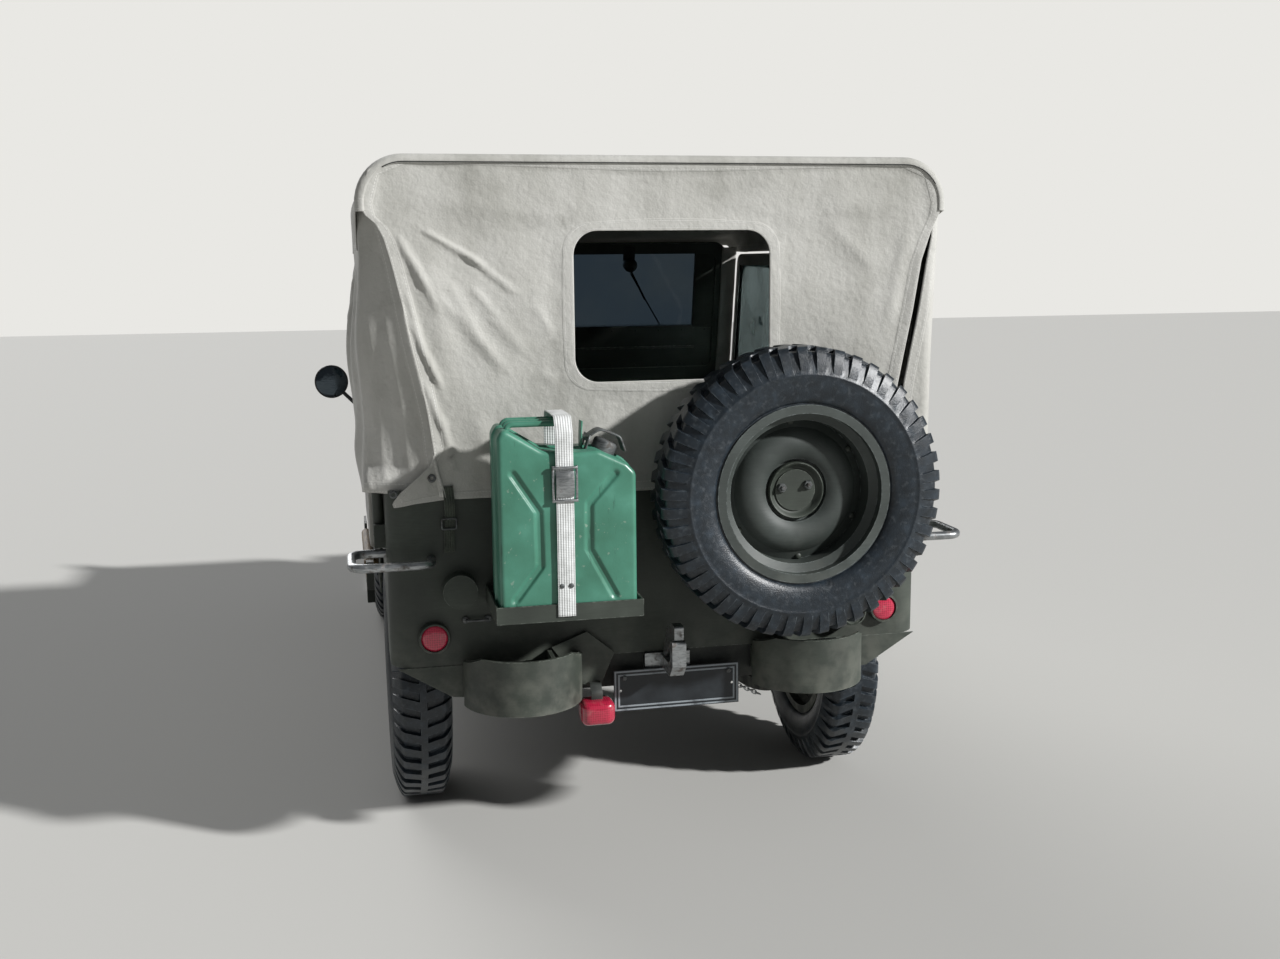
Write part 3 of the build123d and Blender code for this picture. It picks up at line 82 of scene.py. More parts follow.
def addNode(tree, kind, sockets=None, give=0, stops=(), **settings):
    # one node with its settings and links; gives the output asked for.
    # stops are a ramp's places and hex colours
    node = tree.nodes.new("ShaderNode" + kind)
    for name, value in settings.items():
        setattr(node, name, value)
    plug(tree, node, sockets or {})
    while stops and len(node.color_ramp.elements) < len(stops):
        node.color_ramp.elements.new(0.5)
    for count, (at, code) in enumerate(stops):
        node.color_ramp.elements[count].position = at
        node.color_ramp.elements[count].color = srgb(code)
    return node.outputs[give] if len(node.outputs) else node


def placeCamera():
    # ahead from yaw and pitch; right and up turned about it by roll
    yaw, pitch, roll = (radians(viewpoint[k]) for k in ("yaw", "pitch", "roll"))
    ahead = np.array((sin(yaw) * cos(pitch), cos(yaw) * cos(pitch), -sin(pitch)))
    level = np.array((cos(yaw), -sin(yaw), 0.0))
    down = np.cross(ahead, level)
    right = cos(roll) * level + sin(roll) * down
    up = sin(roll) * level - cos(roll) * down
    camera = bpy.data.objects.new("camera", bpy.data.cameras.new("camera"))
    camera.data.lens, camera.data.sensor_width = viewpoint["lens"], 36
    turn = Matrix(np.stack([right, up, -ahead], axis=1).tolist()).to_4x4()
    camera.matrix_world = Matrix.Translation(viewpoint["place"]) @ turn
    scene.collection.objects.link(camera)
    scene.camera = camera


def placeSun(name, towards, strength, spread):
    # a broad sun shines from the point that it is given, towards the car
    lamp = bpy.data.lights.new(name, "SUN")
    lamp.energy, lamp.angle = strength, radians(spread)
    sun = bpy.data.objects.new(name, lamp)
    back = np.array(towards) / np.linalg.norm(towards)
    side = np.cross((0, 0, 1), back)
    side /= np.linalg.norm(side)
    turn = np.stack([side, np.cross(back, side), back], axis=1)
    sun.matrix_world = Matrix(turn.tolist()).to_4x4()
    scene.collection.objects.link(sun)


def placeStudio():
    # the pale paper shows to the eye and through glass; the car is lit by a weaker sky
    for name in ("key", "fill"):
        placeSun(name + "Light", *(studio[name + k] for k in ("From", "Strength", "Spread")))
    world = bpy.data.worlds.new("studio")
    scene.world = world
    world.use_nodes = True
    tree = world.node_tree
    tree.nodes.clear()
    byEye = addNode(tree, "LightPath", give="Is Camera Ray")
    byGlass = addNode(tree, "LightPath", give="Is Transmission Ray")
    seen = addNode(tree, "Math", {0: byEye, 1: byGlass}, operation="MAXIMUM")
    sky = addNode(tree, "Background", {"Color": srgb(studio["skyColour"]),
                                       "Strength": studio["skyStrength"]})
    paper = addNode(tree, "Background", {"Color": srgb(studio["paperColour"]), "Strength": 1.0})
    both = addNode(tree, "MixShader", {0: seen, 1: sky, 2: paper})
    addNode(tree, "OutputWorld", {"Surface": both})
    half = studio["floorHalf"]
    sheetMesh = bpy.data.meshes.new("floorPaper")
    sheetMesh.from_pydata([(-half, -half, 0), (half, -half, 0), (half, half, 0),
                           (-half, half, 0)], [], [(0, 1, 2, 3)])
    floorSheet = bpy.data.objects.new("floorPaper", sheetMesh)
    scene.collection.objects.link(floorSheet)
    paint = bpy.data.materials.new("studioPaper")
    paint.use_nodes = True
    shader = paint.node_tree.nodes["Principled BSDF"]
    plug(paint.node_tree, shader, {"Base Color": srgb(studio["floorColour"]), "Roughness": 0.95})
    sheetMesh.materials.append(paint)
    scene.view_settings.view_transform = "Standard"


placeCamera()
placeStudio()
print("camera and studio placed")


# Finishes

def newFinish(name):
    # an empty material, its shader, and the piece's own coordinates in metres
    finish = bpy.data.materials.new(name)
    finish.use_nodes = True
    tree = finish.node_tree
    return finish, tree, tree.nodes["Principled BSDF"], addNode(tree, "TexCoord", give="Object")


def mottled(tree, place, size, detail=5, stretch=(1, 1, 1), rough=0.55):
    # cloudy noise, 0 to 1, whose patches are about this size in metres
    laid = addNode(tree, "Mapping", {"Vector": place, "Scale": stretch})
    return addNode(tree, "TexNoise", {"Vector": laid, "Scale": 1 / size, "Detail": detail,
                                      "Roughness": rough}, "Fac")


def clouded(tree, place, size, at, tones, detail=5, stretch=(1, 1, 1)):
    # the noise itself, and the tones laid along it at these shares
    share = mottled(tree, place, size, detail, stretch)
    return share, addNode(tree, "ValToRGB", {"Fac": share}, "Color", tuple(zip(at, tones)))


def patches(tree, place, size, low, high, most=1.0, detail=5, stretch=(1, 1, 1), rough=0.55):
    # 0 where the noise is below low, most where it is above high
    share = mottled(tree, place, size, detail, stretch, rough)
    return addNode(tree, "MapRange", {"Value": share, "From Min": low, "From Max": high,
                                      "To Max": most}, interpolation_type="SMOOTHSTEP")


def coated(tree, colour, coats):
    # colours laid one over another, each by its own share from 0 to 1
    for share, code in coats:
        colour = addNode(tree, "Mix", {0: share, 6: colour, 7: srgb(code)}, 2, data_type="RGBA")
    return colour


def waves(tree, place, scale):
    # the sines of a place's X and Y, scaled to radians
    laid = addNode(tree, "Mapping", {"Vector": place, "Scale": scale})
    return [addNode(tree, "Math", {0: addNode(tree, "SeparateXYZ", {0: laid}, way)},
                    operation="SINE") for way in "XY"]


def dressed(tree, shader, colour, rough, bump, more=None):
    # the shader's colour; its roughness, one number or (share, low, high); and its relief,
    # (height, the depth it stands for, how strongly it shows)
    if isinstance(rough, tuple):
        share, low, high = rough
        rough = addNode(tree, "MapRange", {"Value": share, "To Min": low, "To Max": high})
    height, depth, strength = bump
    relief = addNode(tree, "Bump", {"Height": height, "Distance": depth, "Strength": strength})
    plug(tree, shader, {"Base Color": colour, "Roughness": rough, "Normal": relief,
                        **(more or {})})


def wornEdges(tree, place, width, grain, most):
    # finds sharp edges: the rounded normal leaves the true one there; noise breaks it up
    rounded = addNode(tree, "Bevel", {"Radius": width}, samples=4)
    true = addNode(tree, "NewGeometry", give="Normal")
    along = addNode(tree, "VectorMath", {0: rounded, 1: true}, "Value", operation="DOT_PRODUCT")
    edge = addNode(tree, "MapRange", {"Value": along, "From Min": 0.985, "From Max": 0.86},
                   interpolation_type="SMOOTHSTEP")
    return addNode(tree, "Math", {0: edge, 1: patches(tree, place, grain, 0.42, 0.62, most)},
                   operation="MULTIPLY")


def lowDust(tree, place, top, most):
    # pale road dust in patches, thick by the ground and gone at this height
    height = addNode(tree, "SeparateXYZ", {0: place}, "Z")
    low = addNode(tree, "MapRange", {"Value": height, "From Min": top, "From Max": 0.05,
                                     "To Max": most}, interpolation_type="SMOOTHSTEP")
    return addNode(tree, "Math", {0: low, 1: patches(tree, place, 0.05, 0.34, 0.7, 1, 6)},
                   operation="MULTIPLY")


def paintedSteel(name, tones, worn, dusty, dustTop, wear=1.0, gloss=0.56):
    # brushed matt enamel on sheet steel: brush marks about 3 mm apart, cloudy fading,
    # rubbed edges, and road dust below
    finish, tree, shader, place = newFinish(name)
    fading, colour = clouded(tree, place, 0.16, (0.3, 0.52, 0.72), tones)
    brushed = patches(tree, place, 0.004, 0.3, 0.7, 0.28, 3, (0.12, 0.12, 1))
    colour = coated(tree, colour, (
        (brushed, tones[0]), (lowDust(tree, place, dustTop, 0.7), dusty),
        (wornEdges(tree, place, 0.004, 0.012, wear), worn)))
    dressed(tree, shader, colour, (fading, gloss - 0.12, gloss + 0.12), (brushed, 0.0006, 0.5))
    return finish


def hemStitches(tree):
    # the hem's folded band, and two rows of stitches, 6 and 24 mm in from the edge: the
    # distance from their mean line, less half their spacing, is nothing on either row
    hem = addNode(tree, "UVMap", uv_map="hem")
    inwards = addNode(tree, "SeparateXYZ", {0: hem}, "Y")
    onward = addNode(tree, "SeparateXYZ", {0: hem}, "X")
    band = addNode(tree, "MapRange", {"Value": inwards, "From Min": 0.031, "From Max": 0.028,
                                      "To Max": 0.18}, interpolation_type="SMOOTHSTEP")
    fromMean = addNode(tree, "Math", {0: inwards, 1: 0.015}, operation="SUBTRACT")
    across = addNode(tree, "Math", {0: fromMean}, operation="ABSOLUTE")
    off = addNode(tree, "Math", {0: across, 1: 0.009, 2: 0.0012}, operation="COMPARE")
    beat = addNode(tree, "Math", {0: onward, 1: 0.009}, operation="FLOORED_MODULO")
    dash = addNode(tree, "Math", {0: beat, 1: 0.0032}, operation="GREATER_THAN")
    return band, addNode(tree, "Math", {0: off, 1: dash}, operation="MULTIPLY")


def cottonDuck(name, tones):
    # waxed cotton duck: plain weave, drawn about three threads wide so that it shows,
    # cloudy weathering, damp stains, and double rows of pale stitches along every hem
    finish, tree, shader, place = newFinish(name)
    warp, weft = waves(tree, addNode(tree, "UVMap", uv_map="cloth"), (tau / 0.0035,) * 3)
    threads = addNode(tree, "Math", {0: warp, 1: weft}, operation="MULTIPLY")
    band, stitch = hemStitches(tree)
    stitched = addNode(tree, "Math", {0: stitch, 1: 0.55}, operation="MULTIPLY")
    _, colour = clouded(tree, place, 0.24, (0.3, 0.48, 0.7), tones, 6, (1, 1, 0.55))
    colour = coated(tree, colour, (
        (patches(tree, place, 0.07, 0.55, 0.74, 0.30, 7), tones[3]),
        (patches(tree, place, 0.05, 0.52, 0.75, 0.22, 5, (1, 1, 0.12)), tones[0]),
        (patches(tree, place, 0.002, 0.3, 0.9, 0.2, 2), tones[3]),
        (band, tones[2]), (stitched, tones[4])))
    lift = patches(tree, place, 0.018, 0.2, 0.8, 1.6, 4)
    for height, most in ((threads, 0.25), (stitch, 1.2), (band, 5.0)):
        lift = addNode(tree, "Math", {0: height, 1: most, 2: lift}, operation="MULTIPLY_ADD")
    dressed(tree, shader, colour, 0.88, (lift, 0.0009, 0.8),
            {"Sheen Weight": 0.2, "Sheen Roughness": 0.5})
    return finish


def padDuck(name, tones):
    # the seats' proofed duck: a fine weave drawn from crossed waves, rubbed on the crowns
    finish, tree, shader, place = newFinish(name)
    _, colour = clouded(tree, place, 0.10, (0.3, 0.5, 0.7), tones, 6)
    weave, weft = (addNode(tree, "TexWave", {"Vector": place, "Scale": 70.0, "Distortion": 0.6,
                                             "Detail": 1.0}, "Fac", bands_direction=way)
                   for way in "XZ")
    both = addNode(tree, "Math", {0: weave, 1: weft}, operation="ADD")
    colour = coated(tree, colour, (
        (patches(tree, place, 0.03, 0.5, 0.75, 0.35, 6), tones[3]),
        (wornEdges(tree, place, 0.006, 0.03, 0.5), tones[4])))
    dressed(tree, shader, colour, 0.85, (both, 0.0005, 0.6),
            {"Sheen Weight": 0.2, "Sheen Roughness": 0.5})
    return finish


def tyreRubber():
    # aged black rubber, tinted blue-grey as painted sky sheen: dull, with grey gravel dust on the
    # tread and in the grain
    finish, tree, shader, place = newFinish("agedRubberPaintedSheen")
    _, colour = clouded(tree, place, 0.03, (0.3, 0.55, 0.75), ("141A1F", "1E262D", "2C363F"), 7)
    dust = patches(tree, place, 0.012, 0.5, 0.8, 0.22, 6)
    colour = coated(tree, colour, (
        (dust, "70767A"), (lowDust(tree, place, 0.30, 0.3), "7B7C78"),
        (wornEdges(tree, place, 0.003, 0.02, 0.45), "7F878C")))
    grain = patches(tree, place, 0.003, 0.2, 0.8, 1.0, 4)
    dressed(tree, shader, colour, (dust, 0.34, 0.8), (grain, 0.0005, 0.6))
    return finish


def bareSteel(name, tones, rough, rusty=0.7, metal=0.9):
    # steel worn to the metal: fine scratches, and brown rust where it stays damp
    finish, tree, shader, place = newFinish(name)
    scratch, colour = clouded(tree, place, 0.006, (0.3, 0.6), tones, 6, (0.3, 0.3, 1.4))
    rust = patches(tree, place, 0.02, 0.52, 0.68, rusty, 7)
    shine = addNode(tree, "MapRange", {"Value": rust, "To Min": metal, "To Max": 0.1})
    dressed(tree, shader, coated(tree, colour, ((rust, tones[2]),)), (rust, rough, 0.9),
            (scratch, 0.0003, 0.6), {"Metallic": shine})
    return finish


def canEnamel():
    # glossy green enamel over pressed steel, chipped and scratched from handling
    finish, tree, shader, place = newFinish("canEnamel")
    clouds, colour = clouded(tree, place, 0.12, (0.3, 0.55, 0.75),
                             ("3A6C58", "457D69", "55917D"))
    dull = patches(tree, place, 0.03, 0.2, 0.8, 1.0, 3)
    colour = coated(tree, colour, (
        (patches(tree, place, 0.05, 0.60, 0.66, 0.4, 9, (2.4, 1, 0.35), 0.72), "1C3428"),
        (patches(tree, place, 0.017, 0.66, 0.70, 0.5), "8A9A8C"),
        (wornEdges(tree, place, 0.003, 0.02, 0.5), "9FB3A4")))
    dressed(tree, shader, colour, (clouds, 0.2, 0.52), (dull, 0.0008, 0.35))
    return finish


def webbing(name, tones):
    # woven strap: ribs along it 6 mm apart, cross threads, soiled in patches
    finish, tree, shader, place = newFinish(name)
    rib, pick = waves(tree, addNode(tree, "UVMap", uv_map="cloth"),
                      (tau / 0.006, tau / 0.004, 1))
    lift = addNode(tree, "Math", {0: rib, 1: 2.0, 2: pick}, operation="MULTIPLY_ADD")
    _, colour = clouded(tree, place, 0.03, (0.3, 0.65), tones, 6)
    dressed(tree, shader, colour, 0.8, (lift, 0.0003, 0.7), {"Sheen Weight": 0.2})
    return finish


def clearPane(name, tints, rough, haze, through=0.9):
    # a clear sheet: most light goes through its tint, and a dusty haze lies in wide patches
    finish, tree, shader, place = newFinish(name)
    dusty = patches(tree, place, 0.25, 0.35, 0.75, haze, 4)
    colour = coated(tree, srgb(tints[0]), ((dusty, tints[1]),))
    plug(tree, shader, {
        "Base Color": colour, "IOR": 1.2,
        "Transmission Weight": addNode(tree, "MapRange", {"Value": dusty, "To Min": through,
                                                          "To Max": through - 0.5}),
        "Roughness": addNode(tree, "MapRange", {"Value": dusty, "To Min": rough,
                                                "To Max": rough + 0.25})})
    return finish


def redLens(name, tones, gloss):
    # moulded red reflector: small prisms in rows under a smooth face, faded by the sun
    finish, tree, shader, place = newFinish(name)
    cells = addNode(tree, "TexVoronoi", {"Vector": place, "Scale": 170.0, "Randomness": 0.15},
                    "Distance")
    colour = addNode(tree, "ValToRGB", {"Fac": cells}, "Color", tuple(zip((0.1, 0.6), tones)))
    colour = coated(tree, colour, ((patches(tree, place, 0.02, 0.5, 0.8, 0.3), "B98A86"),))
    dressed(tree, shader, colour, 0.22, (cells, 0.0006, 0.5), {"Coat Weight": gloss})
    return finish


def toolWood(bladeFrom, pollTo):
    # oiled ash handles with a long grain, greyed by weather; the heads are drawn steel:
    # the axe's lies behind its handle, the shovel's blade ahead of its own
    finish, tree, shader, place = newFinish("oiledAsh")
    grain, wood = clouded(tree, place, 0.004, (0.3, 0.5, 0.7), ("4A3B26", "6E5A3B", "8A7450"),
                          6, (1, 0.05, 1))
    ahead = addNode(tree, "SeparateXYZ", {0: place}, "Y")
    blade = addNode(tree, "Math", {0: ahead, 1: bladeFrom + carShift[1]},
                    operation="GREATER_THAN")
    poll = addNode(tree, "Math", {0: ahead, 1: pollTo + carShift[1]}, operation="LESS_THAN")
    steel = addNode(tree, "Math", {0: blade, 1: poll}, operation="MAXIMUM")
    worn = addNode(tree, "Math", {0: steel, 1: wornEdges(tree, place, 0.004, 0.02, 0.8)},
                   operation="MULTIPLY")
    dressed(tree, shader, coated(tree, wood, ((steel, "32362F"), (worn, "8E8F8B"))),
            (steel, 0.62, 0.45), (grain, 0.0004, 0.6))
    return finish


def plateEnamel(middleZ, halfZ, linesIn, lineHalf):
    # black enamelled sheet with two pale lines round its edge, and no lettering
    finish, tree, shader, place = newFinish("plateEnamel")
    lowest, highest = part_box("licence_plate")
    centred = addNode(tree, "Mapping", {"Vector": place, "Location": (
        -(lowest.x + highest.x) / 2, 0, -middleZ)})
    sided = addNode(tree, "VectorMath", {0: centred}, operation="ABSOLUTE")
    fromX, fromZ = (addNode(tree, "Math", {
        0: half, 1: addNode(tree, "SeparateXYZ", {0: sided}, way)}, operation="SUBTRACT")
        for way, half in (("X", (highest.x - lowest.x) / 2), ("Z", halfZ)))
    inside = addNode(tree, "Math", {0: fromX, 1: fromZ}, operation="MINIMUM")
    outer, inner = (addNode(tree, "Math", {0: inside, 1: at, 2: lineHalf}, operation="COMPARE")
                    for at in linesIn)
    lines = addNode(tree, "Math", {0: outer, 1: inner}, operation="MAXIMUM")
    faded = addNode(tree, "Math", {0: lines, 1: patches(tree, place, 0.05, 0.2, 0.5, 0.9, 6)},
                    operation="MULTIPLY")
    clouds, base = clouded(tree, place, 0.05, (0.35, 0.7), ("14181C", "23282C"), 6)
    dressed(tree, shader, coated(tree, base, ((faded, "8F969B"),)), (clouds, 0.3, 0.6),
            (lines, 0.0006, 0.8))
    return finish


def mouldedBlack(name, tones, rough):
    # hard black rubber or baked enamel, slightly polished by hands; seam piping's painted shade
    finish, tree, shader, place = newFinish(name)
    clouds, colour = clouded(tree, place, 0.04, (0.35, 0.7), tones)
    grain = patches(tree, place, 0.002, 0.2, 0.8, 1.0, 3)
    dressed(tree, shader, colour, (clouds, rough, rough + 0.2), (grain, 0.0002, 0.5))
    return finish


finishes = {
    "body_paint": paintedSteel("oliveEnamel", ("2A2F29", "363C35", "454C44"), "7E847B",
                               "85857B", 0.75, 0.66),
    "chassis_paint": paintedSteel("chassisEnamel", ("1D201E", "272B28", "333733"), "62665F",
                                  "7A7A72", 0.7, 0.6, 0.66),
    "canvas": cottonDuck("waxedDuck", ("96958E", "B2B1AB", "C4C3BE", "7E7D76", "DAD9D4")),
    "seat_canvas": padDuck("seatDuck", ("43463A", "52554A", "61645A", "383B30", "85887A")),
    "tyre_rubber": tyreRubber(),
    "can_paint": canEnamel(),
    "webbing": webbing("strapWebbing", ("B9BBB9", "DADCDB")),
    "bare_steel": bareSteel("wornSteel", ("7C7F80", "A9ACAD", "4A3A2E"), 0.32),
    "cast_metal": bareSteel("castSteel", ("3E4142", "6A6D6D", "3C3129"), 0.50, 0.6, 0.55),
    # the windscreen glass is real, but its dark blue-grey tint is painted shade for dark
    # surroundings seen through it
    "window_glass": clearPane("plateGlassPaintedDark", ("303B45", "6C7472"), 0.02, 0.12),
    "lamp_glass": clearPane("lampGlass", ("EEF2EE", "C9CCC8"), 0.05, 0.2, 0.75),
    "red_lens": redLens("redReflector", ("8C1630", "C8304E"), 0.6),
    "black_plate": plateEnamel(0.443, 0.055, (0.004, 0.0135), 0.0022),
    "ash_wood": toolWood(1.560, 1.052),
    "wheel_black": mouldedBlack("hardRubber", ("131414", "1F2020"), 0.3),
    "mirror_paint": mouldedBlack("bakedBlack", ("17191A", "232627"), 0.35),
}
vinylPane = clearPane("hazyVinyl", ("93A3A4", "9DA8A5"), 0.22, 0.25, 0.70)
redPaint = redLens("rearLampRed", ("7E1228", "AE2440"), 0.8)
# the spare rim's rubbed edges are real wear, coloured pale bluish white as a painted highlight of
# the sky along its ring
rimEnamelWithPaintedGlint = paintedSteel("rimEnamelWithPaintedGlint", ("2A302D", "3B413E", "4E5552"), "A3ADAD", "85857B",
                         1.0, 0.36)
silvered = bareSteel("silveredGlass", ("3C444A", "4A5258", "30363A"), 0.05, 0.0, 1.0)
oliveWebbing = webbing("oliveWebbing", ("30352E", "454B41"))
# near-black piping for the rear seam: its darkness is painted shade of the crease under the roll
seamPipingShade = mouldedBlack("seamPipingPaintedShade", ("2B2C2A", "3A3B38"), 0.7)

for part in frame["record"]["subparts"]:
    for hold in nodes[part["node"]].material_slots:
        hold.material = finishes[part["material_slot"]]
for hold in nodes["spare_rim"].material_slots:
    hold.material = rimEnamelWithPaintedGlint
print("finishes laid on the solids")


# Shapes: each is a grid of points, worked out as one array

def layPiece(name, points, faces, slot, body="chassis", look=None, smooth=True, maps=None,
             closed=True, bevel=0.0, sharp=0, wall=0.0):
    # points in car places; faces of four corners, a triangle naming its last corner twice.
    # sharp: edges stay crisp above this many degrees; wall: a thickness given to both sides
    points = (np.asarray(points, dtype=float).reshape(-1, 3) + carShift).astype(np.float32)
    faces = np.asarray(faces, dtype=np.int32)
    corners = np.where(faces[:, 3] == faces[:, 2], 3, 4)
    wanted = np.ones(faces.shape, dtype=bool)
    wanted[:, 3] = corners == 4
    loops = faces[wanted]
    mesh = bpy.data.meshes.new(name)
    mesh.vertices.add(len(points))
    mesh.vertices.foreach_set("co", points.ravel())
    mesh.loops.add(len(loops))
    mesh.loops.foreach_set("vertex_index", loops)
    mesh.polygons.add(len(faces))
    mesh.polygons.foreach_set("loop_start", np.concatenate([[0], np.cumsum(corners)[:-1]]))
    mesh.update(calc_edges=True)
    for mapName, values in (maps or {}).items():
        layer = mesh.uv_layers.new(name=mapName)
        values = np.asarray(values, dtype=np.float32).reshape(-1, 2)
        layer.data.foreach_set("uv", values[loops].ravel())
    mesh.validate()
    if closed:
        work = bmesh.new()
        work.from_mesh(mesh)
        bmesh.ops.remove_doubles(work, verts=work.verts, dist=2e-5)
        bmesh.ops.recalc_face_normals(work, faces=work.faces)
        work.to_mesh(mesh)
        work.free()
    mesh.polygons.foreach_set("use_smooth", np.full(len(mesh.polygons), smooth))
    mesh.materials.append(look or finishes[slot])
    mesh.update()
    if sharp:
        mesh.set_sharp_from_angle(angle=radians(sharp))
    piece = bpy.data.objects.new(name, mesh)
    scene.collection.objects.link(piece)
    if bevel:
        rounding = piece.modifiers.new("edges", "BEVEL")
        rounding.width, rounding.segments, rounding.limit_method = bevel, 2, "ANGLE"
    if wall:
        skin = piece.modifiers.new("thickness", "SOLIDIFY")
        skin.thickness, skin.offset = wall, 0.0
    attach(piece, body)
    return piece


def gridFaces(rows, cols, roundRows=False, roundCols=False):
    # each cell's four corners; a round side joins its last line of points to its first
    r = np.arange(rows if roundRows else rows - 1)
    c = np.arange(cols if roundCols else cols - 1)
    a, b = (k.ravel() for k in np.meshgrid(r, c, indexing="ij"))
    a1, b1 = (a + 1) % rows, (b + 1) % cols
    return np.stack([a * cols + b, a * cols + b1, a1 * cols + b1, a1 * cols + b], axis=1)


def joined(parts):
    # several (points, faces) pairs as one, each one's faces counted on from the last
    counts = np.cumsum([0] + [len(p) for p, _ in parts])
    return (np.concatenate([np.asarray(p, dtype=float) for p, _ in parts]),
            np.concatenate([np.asarray(f) + n for (_, f), n in zip(parts, counts)]))


def fan(ring):
    # triangles from a ring of points to its middle
    i = np.arange(len(ring))
    hub = np.full(len(ring), len(ring))
    return (np.concatenate([ring, [ring.mean(0)]]),
            np.stack([i, (i + 1) % len(ring), hub, hub], axis=1))


def lidded(rings):
    # a stack of rings, closed by a lid at either end
    return joined([(rings.reshape(-1, 3), gridFaces(*rings.shape[:2], False, True)),
                   fan(rings[0]), fan(rings[-1])])


def swept(path, profile, up=(0, 0, 1), loop=False):
    # a closed profile (sideways, upward) carried along a path, each ring square to it;
    # sideways is the path's direction crossed with up
    path, profile = np.asarray(path, dtype=float), np.asarray(profile, dtype=float)
    ahead = np.roll(path, -1, 0) - np.roll(path, 1, 0) if loop else np.gradient(path, axis=0)
    ahead /= np.linalg.norm(ahead, axis=1)[:, None]
    across = np.cross(ahead, np.asarray(up, dtype=float))
    across /= np.linalg.norm(across, axis=1)[:, None]
    rise = np.cross(across, ahead)
    rings = (path[:, None] + profile[None, :, :1] * across[:, None]
             + profile[None, :, 1:] * rise[:, None])
    if loop:
        return rings.reshape(-1, 3), gridFaces(*rings.shape[:2], True, True)
    return lidded(rings)


def bent(corners, radius, steps=7):
    # straight runs joined by round bends: each bend is the conic through its corner
    corners = np.asarray(corners, dtype=float)
    radii = np.broadcast_to(radius, len(corners) - 2)
    t = np.linspace(0, 1, steps)[:, None]
    runs = [corners[:1]]
    for before, corner, after, r in zip(corners, corners[1:], corners[2:], radii):
        u, v = before - corner, after - corner
        lu, lv = np.linalg.norm(u), np.linalg.norm(v)
        half = np.arccos(np.clip(u @ v / lu / lv, -1, 1)) / 2
        back = min(r / np.tan(half), 0.49 * lu, 0.49 * lv)
        a, b, w = corner + u / lu * back, corner + v / lv * back, np.sin(half)
        runs.append(((1 - t) ** 2 * a + 2 * w * t * (1 - t) * corner + t ** 2 * b)
                    / ((1 - t) ** 2 + 2 * w * t * (1 - t) + t ** 2))
    return np.concatenate(runs + [corners[-1:]])


def runOf(path):
    # how far along a line each of its points lies
    return np.concatenate([[0], np.cumsum(np.linalg.norm(np.diff(path, axis=0), axis=1))])


def evenly(path, count, loop=False):
    # the same line with its points an equal way apart
    path = np.concatenate([path, path[:1]]) if loop else np.asarray(path)
    run = runOf(path)
    at = np.linspace(0, run[-1], count, endpoint=not loop)
    return np.stack([np.interp(at, run, path[:, k]) for k in range(path.shape[1])], axis=1)


def ring(radius, sides, flatten=1.0):
    # a circle's points, pressed flat by this share
    a = np.arange(sides) * tau / sides
    return np.stack([radius * np.cos(a), radius * flatten * np.sin(a)], axis=1)


def roundCornered(corners, radius, steps=6):
    # a closed outline with every corner rounded
    corners = np.asarray(corners, dtype=float)
    start = (corners[0] + corners[-1]) / 2
    return bent(np.concatenate([[start], corners, [start]]), radius, steps)[:-1]


def barSection(width, height, corner, steps=4):
    # a rectangle about its middle with round corners
    w, h = width / 2, height / 2
    return roundCornered([(-w, -h), (w, -h), (w, h), (-w, h)], corner, steps)


def outwardOf(loop):
    # the normals of a closed outline that runs anticlockwise
    ahead = np.roll(loop, -1, 0) - np.roll(loop, 1, 0)
    ahead /= np.linalg.norm(ahead, axis=1)[:, None]
    return np.stack([ahead[:, 1], -ahead[:, 0]], axis=1)


def offsetLoop(loop, away):
    # the same outline moved outward by this much
    return loop + away * outwardOf(loop)


def reachOf(loop, angle):
    # how far a closed outline lies from the origin in each direction
    turn = np.arctan2(loop[:, 1], loop[:, 0])
    order = np.argsort(turn)
    return np.interp(angle, turn[order], np.hypot(*loop.T)[order], period=tau)


def turned(profile, centre, axis, sides=64):
    # a profile of (along the axis, radius) turned once round the axis
    profile = np.asarray(profile, dtype=float)
    axis = np.asarray(axis, dtype=float) / np.linalg.norm(axis)
    guide = (0, 0, 1.0) if abs(axis[2]) < 0.9 else (0, 1.0, 0)
    e1 = np.cross(axis, guide)
    e1 /= np.linalg.norm(e1)
    e2 = np.cross(axis, e1)
    a = np.arange(sides) * tau / sides
    spokes = np.cos(a)[:, None] * e1 + np.sin(a)[:, None] * e2
    points = (np.asarray(centre, dtype=float) + profile[None, :, :1] * axis
              + profile[None, :, 1:] * spokes[:, None])
    return points.reshape(-1, 3), gridFaces(sides, len(profile), True, False)


def bolts(places, outward, radius=0.0075, height=0.006, sides=6):
    # low crowned heads standing on their places and facing outward
    head = [(-0.002, radius), (height * 0.7, radius), (height, radius * 0.75), (height, 1e-6)]
    return [turned(head, place, outward, sides) for place in places]


def creases(u, v, table):
    # soft ridges, each a bell across its line that fades past both ends
    lift = np.zeros_like(u)
    for u0, v0, u1, v1, width, height in table:
        du, dv = u1 - u0, v1 - v0
        run = np.hypot(du, dv)
        along = ((u - u0) * du + (v - v0) * dv) / run ** 2
        off = ((u - u0) * dv - (v - v0) * du) / run
        fade = np.exp(-(np.clip(np.abs(along - 0.5) - 0.3, 0, None) / 0.17) ** 2)
        lift += height * np.exp(-(off / width) ** 2) * fade
    return lift


def ripples(u, v, length, height):
    # gentle waves at lengths that never fall in step
    return height * 0.5 * (np.sin(tau * u / length + 1.1 * np.sin(tau * v / (2.3 * length)))
                           + np.sin(tau * (v / (1.37 * length) + u / (3.1 * length)) + 1.3))


def smooth(value, low, high):
    # 0 below low, 1 above high, and 3t^2 - 2t^3 between
    t = np.clip((value - low) / (high - low), 0, 1)
    return t * t * (3 - 2 * t)


